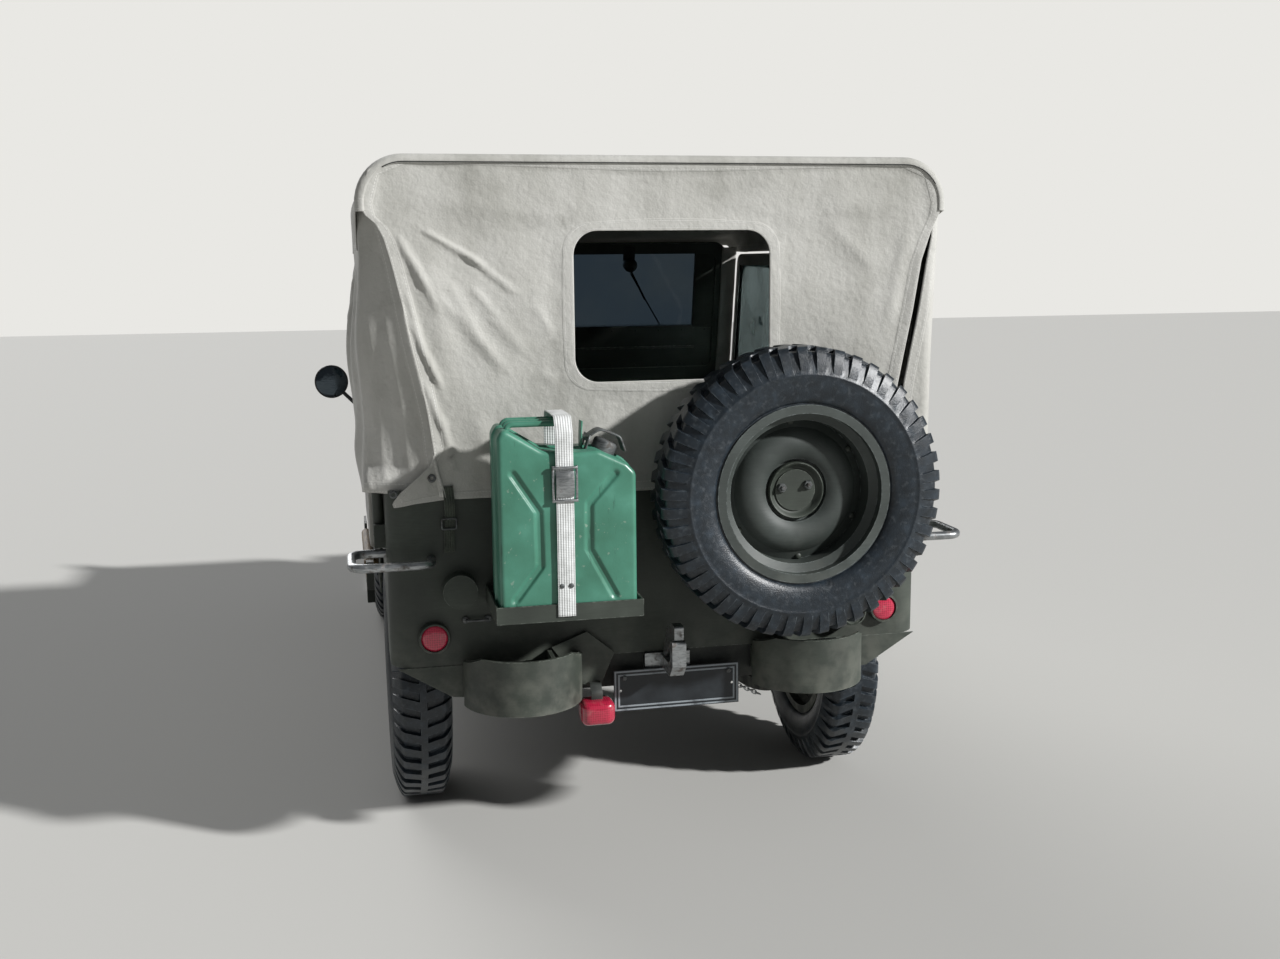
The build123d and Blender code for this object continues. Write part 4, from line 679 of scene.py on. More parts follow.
def layCloth(name, grid, cloth, hem, wall=0.0025,
             body="chassis", roundRows=False, flip=False):
    # one layer of canvas over a grid of points
    faces = gridFaces(*grid.shape[:2], roundRows)
    piece = layPiece(name, grid, faces[:, ::-1] if flip else faces, "canvas", body,
                     maps={"cloth": cloth, "hem": hem}, closed=False, wall=wall)
    return piece


# Canvas top over its bows

top = dict(
    # at each place forward: half width, height and corner radius
    stations=(-0.014, 1.070, 1.760), half=(0.750, 0.750, 0.722), crown=(1.799, 1.800, 1.630),
    corner=(0.115, 0.115, 0.045), low=1.575, rearRise=0.090,
    # the rear edge rolls over into its seam; the front one turns down over the windscreen,
    # by these shares of the hem at these places
    rollRadius=0.016, drop=0.005, rearLip=0.002, plain=(0.03, 1.755, 110), frontHem=0.030,
    frontTurn=((1.762, 0.05), (1.767, 0.22), (1.770, 0.60), (1.771, 1.0)),
    bows=(0.050, 1.050, 1.742), sags=(0.009, 0.007), sideSag=1.6,
    ripple=(0.31, 0.0022), sideRipple=(0.27, 0.003),
    # the piping, near black as painted shade: how far inside the cover, its corner, place and
    # thickness
    seamIn=0.0185, seamCorner=0.0965, seamLow=1.70, seamY=-0.0172, thread=0.0014,
)


def archRows(half, crown, corner, low, sideN=12, cornerN=12, acrossN=60):
    # up the left side, round its corner, across, round and down: one row for each station
    u = np.linspace(0, 1, sideN, endpoint=False)
    a = np.linspace(0, pi / 2, cornerN, endpoint=False)
    w = np.linspace(0, 1, acrossN, endpoint=False)
    down = np.linspace(0, 1, sideN + 1)
    half, crown, corner = (np.asarray(k, dtype=float)[:, None] for k in (half, crown, corner))
    cx, cz = half - corner, crown - corner
    one = np.ones_like(half)
    x = np.concatenate([-half + 0 * u, -cx - corner * np.cos(a), -cx + 2 * cx * w,
                        cx + corner * np.sin(a), half + 0 * down], axis=1)
    z = np.concatenate([low + u * (cz - low), cz + corner * np.sin(a), crown + 0 * w,
                        cz + corner * np.cos(a), cz - down * (cz - low) * one], axis=1)
    return x, z


def coverTop():
    # arches set one behind another; between bows it sags by 4b(1 - b) of the bay's sag, b
    # being the share of the bay, most along the middle, and its sides draw in with it
    t, r = top, top["rollRadius"]
    turn, rear = np.linspace(0, pi / 2, 7), t["stations"][0] - t["rearLip"]
    frontY, frontShare = np.array(t["frontTurn"]).T
    y = np.concatenate([[rear], rear + r * (1 - np.cos(turn)), np.linspace(*t["plain"]), frontY])
    inset = np.concatenate([[r + t["drop"]], r * (1 - np.sin(turn)), np.zeros(t["plain"][2]),
                            frontShare * t["frontHem"]])
    along = runOf(np.stack([y, inset], axis=1))
    half, crown, corner = (np.interp(y, t["stations"], t[k])
                           for k in ("half", "crown", "corner"))
    low = t["low"] + t["rearRise"] * smooth(y, 0.11, 0.01)[:, None]
    x, z = archRows(half - inset, crown - inset, np.maximum(corner - inset, 0.01), low)
    b0, b1, b2 = t["bows"]
    bay = np.where(y < b1, (y - b0) / (b1 - b0), (y - b1) / (b2 - b1))
    sag = (np.where(y < b1, *t["sags"]) * 4 * np.clip(bay * (1 - bay), 0, None))[:, None]
    onTop = smooth(z, t["low"] + 0.08, z.max(axis=1, keepdims=True) - 0.004)
    middle = np.clip(1 - (np.abs(x) / t["half"][0]) ** 4, 0, 1)
    yy = np.broadcast_to(y[:, None], x.shape)
    run = np.concatenate([np.zeros((len(y), 1)), np.cumsum(
        np.hypot(np.diff(x, axis=1), np.diff(z, axis=1)), axis=1)], axis=1)
    lift = ripples(x, yy, *t["ripple"]) * smooth(yy, 0.02, 0.12)
    z = z - sag * onTop * middle + lift * onTop
    drawn = t["sideSag"] * sag - ripples(yy, z, *t["sideRipple"]) * smooth(yy, 0.0, 0.15)
    x = x - np.sign(x) * (1 - onTop) * drawn
    # the nearest hem: up either side, or along the front
    toFront = np.broadcast_to((along[-1] - along)[:, None], x.shape)
    edges = np.stack([run, run[:, -1:] - run, toFront], axis=2)
    onward = np.where(edges.argmin(axis=2) == 2, x + 1, yy)
    piece = layCloth("canvasTop", np.stack([x, yy, z], axis=2),
                     np.stack([run, np.broadcast_to(along[:, None], x.shape)], axis=2),
                     np.stack([onward, edges.min(axis=2)], axis=2))
    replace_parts(piece, "canvas_roof")


def sewSeam():
    # piping where the roll meets the curtain, darkened as painted shade: the cover's arch, a little
    # inside it
    t = top
    x, z = archRows([t["half"][0] - t["seamIn"]], [t["crown"][0] - t["seamIn"]],
                    [t["seamCorner"]], t["seamLow"])
    line = np.stack([x[0], np.full_like(x[0], t["seamY"]), z[0]], axis=1)[20:-16]
    layPiece("rearSeam", *swept(line, ring(t["thread"], 8), (0, 1, 0)), "canvas",
             look=seamPipingShade)


coverTop()
sewSeam()

# Rear curtain, hung behind the rear bow and drawn down over the tub's edge
curtain = dict(
    centre=(0.022, 1.432), windowHalf=(0.252, 0.186), windowRadius=0.060, face=-0.009,
    outline=((-0.560, 0.966), (-0.640, 0.958), (-0.686, 0.948), (-0.690, 0.958),
             (-0.672, 0.985), (-0.632, 1.020), (-0.598, 1.050), (-0.586, 1.080),
             (-0.597, 1.166), (-0.613, 1.264), (-0.631, 1.349), (-0.653, 1.457),
             (-0.673, 1.547), (-0.688, 1.603), (-0.706, 1.638), (-0.732, 1.660), (-0.7385, 1.690),
             (-0.718, 1.761), (-0.655, 1.7890), (-0.500, 1.7900), (0.0, 1.7900), (0.500, 1.7900),
             (0.655, 1.7890), (0.718, 1.761), (0.7385, 1.695), (0.732, 1.655), (0.712, 1.611),
             (0.688, 1.539), (0.667, 1.410), (0.649, 1.320), (0.632, 1.233), (0.608, 1.110),
             (0.596, 1.060), (0.610, 1.030), (0.650, 0.995), (0.680, 0.960), (0.676, 0.948),
             (0.620, 0.958), (0.540, 0.966), (0.0, 0.966)),
    rows=52, cols=500, slack=0.005, tightY=-0.0135,
    tubFlat=0.643, tubCorner=0.065,
)
# the curtain's folds, most of them on its left: ends (x, z), half width and height of each
curtainFolds = (
    (-0.600, 1.625, -0.448, 1.535, 0.0065, 0.0060), (-0.500, 1.570, -0.368, 1.464, 0.0060, 0.0055),
    (-0.479, 1.482, -0.429, 1.417, 0.0060, 0.0055), (-0.435, 1.420, -0.355, 1.323, 0.014, 0.0040),
    (-0.652, 1.605, -0.588, 1.477, 0.0080, 0.0070), (-0.634, 1.409, -0.564, 1.245, 0.0075, 0.0080),
    (-0.614, 1.351, -0.558, 1.240, 0.0060, 0.0050), (-0.607, 1.259, -0.552, 1.132, 0.0080, 0.0075),
    (-0.563, 1.467, -0.427, 1.308, 0.015, 0.0050), (-0.330, 1.442, -0.287, 1.366, 0.010, 0.0030),
    (-0.620, 1.560, -0.560, 1.420, 0.0060, 0.0045), (-0.545, 1.500, -0.470, 1.390, 0.010, 0.0040),
    (-0.520, 1.440, -0.400, 1.270, 0.011, 0.0040), (-0.585, 1.190, -0.535, 1.080, 0.0065, 0.0055),
    (-0.560, 1.130, -0.540, 1.030, 0.0060, 0.0050), (-0.640, 1.480, -0.600, 1.330, 0.0060, 0.0055),
    (-0.322, 1.273, -0.278, 1.254, 0.012, 0.0025), (-0.590, 1.560, -0.540, 1.300, 0.030, 0.0060),
    (0.650, 1.620, 0.600, 1.380, 0.020, 0.0045), (0.420, 1.640, 0.560, 1.520, 0.018, 0.0030),
    (-0.480, 1.180, -0.440, 1.000, 0.022, 0.0050), (-0.250, 1.190, -0.230, 1.010, 0.026, 0.0035),
    (0.300, 1.640, 0.620, 1.700, 0.022, 0.0025), (-0.580, 1.690, -0.250, 1.650, 0.024, 0.0028),
)


def aroundTub(x):
    # how far forward the tub's rounded rear corner lies at each x, from the circle's height
    corner = curtain["tubCorner"]
    d = np.clip(np.abs(x) - curtain["tubFlat"], 0, corner - 0.003)
    return corner - np.sqrt(corner ** 2 - d ** 2)


def hangCurtain():
    # rows from the window out to the edge along each ray from the window's middle, closer
    # together at both ends; folds stand out of the sheet, and its slack sinks as a half sine
    c = curtain
    outer = evenly(c["outline"], c["cols"], loop=True) - c["centre"]
    angle = np.arctan2(outer[:, 1], outer[:, 0])
    reach = np.hypot(outer[:, 0], outer[:, 1])[:, None]
    hw, hh = c["windowHalf"]
    window = barSection(2 * hw, 2 * hh, c["windowRadius"], 12)
    inner = reachOf(evenly(window, 1200, loop=True), angle)[:, None]
    t = np.linspace(0, 1, c["rows"])
    t = (0.35 * t + 0.65 * smooth(t, 0, 1))[None, :]
    away = inner + t * (reach - inner)
    x = c["centre"][0] + away * np.cos(angle)[:, None]
    z = c["centre"][1] + away * np.sin(angle)[:, None]
    run = np.arange(c["cols"])[:, None] * 5.25 / c["cols"] + 0 * t
    fromWindow, fromEdge = away - inner, reach - away
    calm = smooth(np.minimum(fromWindow, fromEdge * 1.5), 0.0, 0.06)
    out = creases(x, z, curtainFolds) * (0.35 + 0.65 * calm)
    out += ripples(x, z, 0.23, 0.0020) * calm + ripples(z, x, 0.11, 0.0008) * calm
    out -= c["slack"] * np.sin(pi * np.clip((z - 0.99) / 0.75, 0, 1)) * calm
    # drawn tight against the roll along its top, and wrapped round the tub's corner below
    tight = smooth(z, 1.63, 1.67) * smooth(fromEdge, 0.045, 0.012)
    y = (c["face"] - out) * (1 - tight) + c["tightY"] * tight
    y += smooth(z, 1.060, 0.985) * aroundTub(x)
    hem = np.stack([run, np.minimum(fromWindow, fromEdge)], axis=2)
    piece = layCloth("rearCurtain", np.stack([x, y, z], axis=2), np.stack([x, z], axis=2), hem,
                     roundRows=True)
    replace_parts(piece, "rear_curtain")


hangCurtain()

# Quarter curtains, from the rear corner forward to the door
quarter = dict(
    bottom=0.979, top=1.596, rearTop=1.690, front=1.058, rear=-0.0035, rows=64, cols=130,
    flatWidth={-1: 1.24, 1: 1.14},
    # the bow's leg behind the corner: its x, its foot and top (y, z), and the wrap's radius
    leg=(-0.723, (0.130, 0.860), (0.050, 1.760)), wrap=0.0195, plainCorner=0.035,
    # height, then the place of the rear edge and of the side at that height
    places={
        -1: ((0.985, -0.556, -0.742), (1.080, -0.578, -0.742), (1.166, -0.587, -0.742),
             (1.264, -0.603, -0.742), (1.349, -0.621, -0.742), (1.457, -0.643, -0.742),
             (1.547, -0.663, -0.743), (1.603, -0.678, -0.7455), (1.69, -0.700, -0.7460)),
        1: ((0.985, 0.612, 0.732), (1.233, 0.649, 0.733), (1.41, 0.684, 0.737),
            (1.539, 0.704, 0.742), (1.60, 0.716, 0.7450)),
    },
    # the left one's belly, and its spread above the tub's corner
    belly=0.020, bellyAt=(0.22, 1.33), bellyHalf=(0.34, 0.17), spread=0.016,
    spreadAt=0.16, spreadHalf=0.30, pleats=2.6, pleatHeight=0.0022, rightBelly=0.012,
    wave=0.006, waveLength=0.21,
)
# folds on each quarter curtain: ends (y, z) of each, half width and height
quarterFolds = {
    -1: ((0.15, 1.56, 0.15, 1.02, 0.020, 0.010), (0.22, 1.50, 0.16, 1.01, 0.024, 0.018),
         (0.36, 1.55, 0.30, 1.02, 0.028, 0.015), (0.55, 1.45, 0.47, 1.01, 0.028, 0.014),
         (0.72, 1.56, 0.66, 1.03, 0.028, 0.008), (0.90, 1.50, 0.86, 1.01, 0.025, 0.008),
         (0.15, 1.55, 0.62, 1.20, 0.020, 0.006), (0.98, 1.56, 0.60, 1.30, 0.020, 0.006)),
    1: ((0.20, 1.50, 0.17, 1.01, 0.026, 0.008), (0.46, 1.55, 0.42, 1.02, 0.028, 0.009),
        (0.70, 1.50, 0.66, 1.01, 0.026, 0.008), (0.92, 1.52, 0.88, 1.01, 0.022, 0.007),
        (0.12, 1.56, 0.50, 1.25, 0.018, 0.006), (0.98, 1.56, 0.62, 1.28, 0.020, 0.006)),
}


def quarterWalk(z, s, hand):
    # its line at each height: a run from the rear edge, which on the left slants until it is
    # tangent to the bow's leg, an arc of radius r round the corner, and a straight side
    q, table = quarter, np.array(quarter["places"][hand])
    start, sideX = (np.interp(z, table[:, 0], table[:, k]) for k in (1, 2))
    if hand < 0:
        legX, (footY, footZ), (topY, topZ) = q["leg"]
        legY = footY + (topY - footY) * (z - footZ) / (topZ - footZ)
        r, back, off = np.full_like(z, q["wrap"]), legY - q["rear"], start - legX
        slant = np.arctan2(back, off) - np.arcsin(np.clip(r / np.hypot(off, back), -1, 1))
        # low down it spreads again over the tub's corner
        slant = slant * (0.70 + 0.30 * smooth(z, 0.995, 1.05))
        rearRun = (start - sideX - r * (1 - np.sin(slant))) / np.cos(slant)
    else:
        r, slant = np.full_like(z, q["plainCorner"]), np.zeros_like(z)
        rearRun = np.abs(sideX - start) - r
    arc = r * (pi / 2 - slant)
    cornerY = q["rear"] + rearRun * np.sin(slant)
    total = rearRun + arc + q["front"] - cornerY - r * np.cos(slant)
    # two fifths of the columns go to the first quarter of the way, where it bends
    run = np.where(s < 0.4, s / 0.4 * 0.26, 0.26 + (s - 0.4) / 0.6 * 0.74) * total
    turn = np.clip((run - rearRun) / r, 0, pi / 2 - slant) + slant
    ahead = np.clip(run - rearRun - arc, 0, None)
    straight = np.minimum(run, rearRun)
    x = start + hand * (straight * np.cos(slant) + r * (np.sin(turn) - np.sin(slant)))
    y = q["rear"] + straight * np.sin(slant) + r * (np.cos(slant) - np.cos(turn)) + ahead
    return x, y, turn, run, rearRun, total


def quarterBulge(y, z, run, rearRun, hand):
    # how far it stands out of its line: folds, a belly, pleats by the corner, and ripples
    q = quarter
    bulge = creases(y, z, quarterFolds[hand]) * (0.4 + 0.6 * smooth(y, 0.0, 0.08))
    if hand < 0:
        (midY, midZ), (halfY, halfZ) = q["bellyAt"], q["bellyHalf"]
        bulge += q["belly"] * np.exp(-((z - midZ) / halfZ) ** 2 - ((y - midY) / halfY) ** 2)
        bulge += (q["spread"] * smooth(z, 1.16, 1.01)
                  * np.exp(-((y - q["spreadAt"]) / q["spreadHalf"]) ** 2))
        # long upright folds where the corner is drawn to the rear curtain's edge
        pleat = np.sin(tau * (run / rearRun * q["pleats"] + 0.35 * (1.6 - z)))
        bulge += (q["pleatHeight"] * pleat * np.abs(pleat) * smooth(run, 0.0, 0.03)
                  * smooth(rearRun - run, -0.03, 0.01) * smooth(z, 1.58, 1.20))
    else:
        bulge += q["rightBelly"] * smooth(y, 0.02, 0.12) * smooth(z, 1.56, 1.40)
    return bulge + ripples(y, z, 0.17, 0.0025) * smooth(y, 0.0, 0.06)


def hangQuarter(name, hand):
    # the line at each height, moved along its normal by the bulge; its top is held flat
    q = quarter
    v = np.linspace(0, 1, q["rows"])[:, None]
    s = np.linspace(0, 1, q["cols"])[None, :]
    rise = smooth(s, 0.50, 0.36) * (q["rearTop"] - q["top"])
    z = q["bottom"] + v * (q["top"] + rise - q["bottom"])
    x, y, turn, run, rearRun, total = quarterWalk(z, s, hand)
    onSide = smooth(turn, 0.25, 1.4) if hand > 0 else 1.0
    bulge = (quarterBulge(y, z, run, rearRun, hand) * smooth(z, 1.585, 1.50) * onSide
             * smooth(q["front"] - y, 0.0, 0.05))
    x, y = x + hand * np.sin(turn) * bulge, y - np.cos(turn) * bulge
    z = z + (1 - v) * (q["wave"] * np.sin(tau * (y / q["waveLength"])) * onSide - 0.004)
    low, near = z - q["bottom"], np.minimum(run, total - run)
    hem = np.stack([np.where(near < low, z, run), np.minimum(np.abs(low), near)], axis=2)
    return layCloth(name, np.stack([x, y, z], axis=2), np.stack([run, z], axis=2), hem,
                    flip=hand > 0)


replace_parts(hangQuarter("quarterCurtainLeft", -1), "quarter_curtains")
hangQuarter("quarterCurtainRight", 1)
print("canvas hung")

# Canvas doors: cloth wrapped round a tube frame, with a clear pane sewn in
door = dict(
    # outline, window and the two middles in (y, z)
    outline=((1.066, 0.622), (1.845, 0.622), (1.845, 1.060), (1.738, 1.569), (1.066, 1.569)),
    window=((1.160, 1.127), (1.785, 1.127), (1.710, 1.522), (1.160, 1.510)),
    middle=(1.440, 1.240), paneMiddle=(1.470, 1.322), radius=0.040, windowRadius=0.070,
    inner=0.713, thick=0.020, slack=0.0015, seam=0.014, paneWall=0.0012,
    tubeIn=0.0105, tube=0.0068, brace=((1.072, 1.075), (1.842, 1.075)), braceTube=0.0040,
    # how far behind the tube the cloth's tucked rows lie
    tuck=(0.0136, 0.0272, 0.0340), sink=0.002,
    # folds: ends (y, z) of each, half width and height
    folds=((1.10, 1.10, 1.30, 0.70, 0.02, 0.003), (1.75, 1.06, 1.55, 0.75, 0.02, 0.003),
           (1.20, 1.05, 1.60, 1.00, 0.018, 0.0025)),
    cols=240, rows=26, paneCols=160, paneRows=12,
)


def makeDoor(name, hand):
    # rows on rays from the window's middle, and the same outline for the frame's tube
    d = door
    body, face, r = f"door_{name}", d["inner"] + d["thick"] / 2, d["thick"] / 2 - d["slack"]
    middle, rows = np.array(d["middle"]), d["rows"]
    edge = roundCornered(d["outline"], d["radius"], 8)
    edge = offsetLoop(evenly(edge, d["cols"], loop=True), -d["tubeIn"])
    window = roundCornered(d["window"], d["windowRadius"], 10)
    angle = np.arctan2(*(edge - middle).T[::-1])
    inner = reachOf(evenly(window, 1500, loop=True) - middle, angle)
    rim = middle + inner[:, None] * np.stack([np.cos(angle), np.sin(angle)], axis=1)
    # the cloth runs flat from the window's rim to the edge, round the tube, and behind it
    flat = rim[:, None] + np.linspace(0, 1, rows)[:, None] * (edge - rim)[:, None]
    bend = np.linspace(0, pi, 9)[1:]
    beyond = np.concatenate([r * np.sin(bend), -np.array(d["tuck"])])
    yz = np.concatenate([flat, edge[:, None] + outwardOf(edge)[:, None] * beyond[:, None]], axis=1)
    offX = np.concatenate([np.full(rows, r), r * np.cos(bend), np.full(len(d["tuck"]), -r)])
    away = np.linalg.norm(yz - rim[:, None], axis=2)
    span = np.linalg.norm(edge - rim, axis=1)[:, None]
    calm = smooth(np.minimum(away, span - away), 0.0, 0.05)
    calm[:, rows:] = 0
    y, z = yz[..., 0], yz[..., 1]
    sink = (ripples(y, z, 0.21, 0.0024) - d["sink"] + creases(y, z, d["folds"])) * calm
    run = np.arange(d["cols"])[:, None] * (3.3 / d["cols"]) + 0 * away
    hem = np.where(offX < r, 0.05, np.minimum(away, span - away + 0.004))
    skin = layCloth(f"doorCanvas_{name}", np.stack([hand * (face + offX + sink), y, z], axis=2),
                    yz, np.stack([run, hem], axis=2),
                    roundRows=True, body=body, flip=hand < 0)
    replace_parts(skin, f"door_{name}")
    path, brace = (np.insert(line, 0, hand * face, axis=1) for line in (edge, d["brace"]))
    tubes = [swept(path, ring(d["tube"], 8), (1, 0, 0), loop=True),
             swept(evenly(brace, 6), ring(d["braceTube"], 8), (1, 0, 0))]
    layPiece(f"doorFrame_{name}", *joined(tubes), "body_paint", body=body)
    # the pane bulges a little between its seams
    glass = offsetLoop(evenly(window, d["paneCols"], loop=True), d["seam"])
    dish = np.linspace(1, 0.02, d["paneRows"])[:, None]
    pane = d["paneMiddle"] + (glass - d["paneMiddle"])[:, None] * dish
    wave = ripples(pane[..., 0], pane[..., 1], 0.19, 0.0022) * (1 - dish[:, 0] ** 6)
    pane = np.concatenate([(hand * (face + r - 0.0025 + wave))[..., None], pane], axis=2)
    parts = [(pane.reshape(-1, 3), gridFaces(d["paneCols"], d["paneRows"], True)),
             fan(pane[:, -1])]
    layPiece(f"doorPane_{name}", *joined(parts), "window_glass", body=body, look=vinylPane,
             closed=False, wall=d["paneWall"])


makeDoor("left", -1)
makeDoor("right", 1)
print("doors made")

# The road wheels and the spare: middle, outward direction, and the tyre's turn on it, so
# that no two stand alike
halfTrack, rearAxle, frontAxle, wheelHeight = 0.6225, 0.565, 2.597, 0.362
roadWheels = {
    f"{end}_{side}": dict(centre=(hand * halfTrack, axle, wheelHeight), out=(hand, 0, 0),
                          turn=turn)
    for end, axle, side, hand, turn in (
        ("rear", rearAxle, "left", -1, 0.1), ("rear", rearAxle, "right", 1, 0.3),
        ("front", frontAxle, "left", -1, 0.5), ("front", frontAxle, "right", 1, 0.2))
}
spareWheel = dict(centre=(0.298, -0.161, 0.974), out=(0, -1, 0), turn=0.0)

# Tyres: bars across the tread from both sides, half a pitch apart, met at the middle.
# Profiles are (across from the middle, radius), from the tread inwards.
tyre = dict(
    bars=46, radius=0.362, grooveDepth=0.012, barShare=0.56, wall=0.04, overlap=0.010,
    lean=0.055, leanTo=0.06, crisp=38,
    barOut=((0.0515, 0.3620), (0.0560, 0.3600), (0.0615, 0.3535), (0.0665, 0.3435),
            (0.0715, 0.3310), (0.0752, 0.3190), (0.0785, 0.3050)),
    barIn=((0.0500, 0.3500), (0.0535, 0.3482), (0.0570, 0.3440), (0.0610, 0.3370),
           (0.0660, 0.3270), (0.0715, 0.3165), (0.0775, 0.3045)),
    wallArc=((0.0800, 0.2985), (0.0812, 0.2965), (0.0812, 0.2935), (0.0800, 0.2915),
             (0.0805, 0.2830), (0.0790, 0.2660), (0.0745, 0.2450), (0.0700, 0.2345),
             (0.0660, 0.2290), (0.0610, 0.2260), (0.0610, 0.2040)),
    inside=((0.048, 0.2040), (0.0672, 0.2600), (0.0670, 0.2950), (0.052, 0.3335)),
)


def tyreGrid():
    # two surfaces, bar tops and groove floors; each point takes one or the other
    t, edge, lap = tyre, tyre["radius"], tyre["overlap"]
    tread = np.array((0.0, lap - 0.001, lap + 0.001, 0.02, 0.032, 0.044))
    barHalf, baseHalf = (
        np.concatenate([np.stack([tread, np.full(len(tread), r)], 1), t[side], t["wallArc"],
                        t["inside"]])
        for r, side in ((edge, "barOut"), (edge - t["grooveDepth"], "barIn")))
    signed = np.array((-1, 1.0))
    bar = np.concatenate([barHalf[:0:-1] * signed, barHalf])
    low = np.concatenate([baseHalf[:0:-1] * signed, baseHalf])
    share, e = t["barShare"], t["wall"]
    cuts = np.sort(np.array([0, share, 0.5, (share + 0.5) % 1]))
    phase = np.sort(np.concatenate([cuts - e / 2, cuts + e / 2, (0.28, 0.78)]) % 1)
    angle = ((np.arange(t["bars"])[:, None] + phase[None, :]) / t["bars"] * tau).ravel()
    phase = np.tile(phase, t["bars"])[:, None]
    # bars end at the last point of barOut
    fall = len(barHalf) - 1
    reach = np.abs(np.arange(2 * fall + 1) - fall) < len(tread) + len(t["barOut"])
    x = bar[:, 0][None, :]
    leftOn = (((phase + 1e-9) % 1) < share) & (x < lap)
    rightOn = (((phase + 0.5) % 1) < share) & (x > -lap)
    stands = (leftOn | rightOn) * reach[None, :]
    across = low[:, 0] + stands * (bar[:, 0] - low[:, 0])
    radius = low[:, 1] + stands * (bar[:, 1] - low[:, 1])
    # the bars lean a little, one way on the left and the other on the right
    lean = t["lean"] * np.abs(np.clip(x, -t["leanTo"], t["leanTo"])) / t["leanTo"]
    return angle[:, None] + lean, across, radius


tyreShape = tyreGrid()


def makeTyre(node, wheel, body):
    # the grid's angle, place across and radius, turned about the wheel's axle
    angle, across, radius = tyreShape
    angle = angle + wheel["turn"]
    axis, e1 = np.array(wheel["out"], dtype=float), np.array((0, 0, 1.0))
    e2 = np.cross(axis, e1)
    points = (np.array(wheel["centre"]) + across[..., None] * axis
              + radius[..., None] * (np.cos(angle)[..., None] * e1 + np.sin(angle)[..., None] * e2))
    piece = layPiece(f"{node}_lugged", points, gridFaces(*points.shape[:2], True, True),
                     "tyre_rubber", body, sharp=tyre["crisp"])
    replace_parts(piece, node)


for name, wheel in roadWheels.items():
    makeTyre(f"tyre_{name}", wheel, f"wheel_{name}")
makeTyre("spare_tyre", spareWheel, "chassis")
print("tyres made")

# Fuel can: pressed shell with its X of ribs, seam, cap and clamp
can = dict(
    middle=-0.290, floor=0.704, front=-0.2345, back=-0.0705, round=0.012, lip=0.001,
    # the outline from the lower right: across from the middle, height above the tray
    outline=((0.164, 0.002), (0.164, 0.345), (0.142, 0.368), (0.072, 0.402), (0.030, 0.398),
             (-0.060, 0.405), (-0.152, 0.462), (-0.166, 0.436), (-0.166, 0.002)),
    corner=0.022, hub=(0.0, 0.205), crown=0.002,
    # pressed channels: the points (x, z) of each, and their half width and depth
    channels=(((-0.130, 0.352), (-0.072, 0.262), (-0.070, 0.130), (-0.130, 0.052)),
              ((0.112, 0.345), (0.049, 0.276), (0.048, 0.165), (0.108, 0.052))),
    channelHalf=0.009, channelDepth=0.006,
    # the welded seam round the middle: place across it, and how far it stands out
    seam=((-0.006, 0), (-0.004, 0.002), (-0.002, 0.0045), (0.002, 0.0045), (0.004, 0.002),
          (0.006, 0)),
    cols=300, rows=46,
)


def makeCanShell():
    # two pressed faces, each sunk in its channels by their depth, joined
    # by quarter circles to the belt between them
    c, parts = can, []
    loop = evenly(roundCornered(c["outline"], c["corner"], 7), c["cols"], loop=True)
    inner = offsetLoop(loop, -c["round"])
    t = np.linspace(0.01, 1, c["rows"])[:, None]
    face = c["hub"] + (inner - c["hub"])[None] * t[..., None]
    x, z = face[..., 0], face[..., 1]
    press = np.zeros_like(x)
    for line in c["channels"]:
        for (u0, v0), (u1, v1) in zip(line, line[1:]):
            du, dv = u1 - u0, v1 - v0
            along = np.clip(((x - u0) * du + (z - v0) * dv) / np.hypot(du, dv) ** 2, 0, 1)
            off = np.hypot(x - u0 - along * du, z - v0 - along * dv) / c["channelHalf"]
            press = np.maximum(press, c["channelDepth"] * smooth(off, 1.35, 0.5))
    sunk = (press - c["crown"] * (1 - t ** 4)) * smooth(1 - t, 0.0, 0.05) + c["lip"]
    turn = np.linspace(0, pi / 2, 6)[1:, None]
    rim = loop[None] - (loop - inner)[None] * (1 - np.sin(turn))[..., None]
    for end, place in ((-1, c["front"]), (1, c["back"])):
        rimY = place - end * (c["round"] * (1 - np.cos(turn)) + c["lip"]) + 0 * rim[..., 0]
        whole = np.concatenate([
            np.stack([x + c["middle"], place - end * sunk, z + c["floor"]], axis=2),
            np.stack([rim[..., 0] + c["middle"], rimY, rim[..., 1] + c["floor"]], axis=2)])
        parts.append((whole.reshape(-1, 3), gridFaces(*whole.shape[:2], False, True)))
        parts.append(fan(whole[0]))
    mid, inset = (c["front"] + c["back"]) / 2, c["round"] + c["lip"]
    steps = np.array([(c["front"] + inset, 0), *((mid + a, b) for a, b in c["seam"]),
                      (c["back"] - inset, 0)])
    belt = loop[None] + ((loop - inner) / c["round"])[None] * steps[:, 1][:, None, None]
    band = np.stack([belt[..., 0] + c["middle"], np.broadcast_to(steps[:, :1], belt.shape[:2]),
                     belt[..., 1] + c["floor"]], axis=2)
    parts.append((band.reshape(-1, 3), gridFaces(*band.shape[:2], False, True)))
    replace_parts(layPiece("fuelCanShell", *joined(parts), "can_paint"), "fuel_can")


makeCanShell()

# The can's cap on its sloping shoulder, with the cam clamp, its hinge ears and rod, and a
# stiffening plate beside it. Places are from the shoulder's middle: (x, z).
canCap = dict(
    at=(-0.192, -0.1525, 1.096), slope=(0.42, 0, 0.907),
    profile=((-0.01, 0.030), (0.020, 0.030), (0.024, 0.027), (0.026, 0.018), (0.026, 1e-6)),
    arm=((-0.045, 0.030), (-0.010, 0.052), (0.040, 0.032), (0.052, -0.004)), armBend=0.016,
    ear=((-0.052, -0.006), (-0.036, 0.040)), earSide=0.026,
    rodAt=(-0.042, 0.030), rodHalf=0.032, rod=0.005,
    plate=((-0.054, -0.010), (-0.054, 0.030), (-0.052, 0.072)),
)


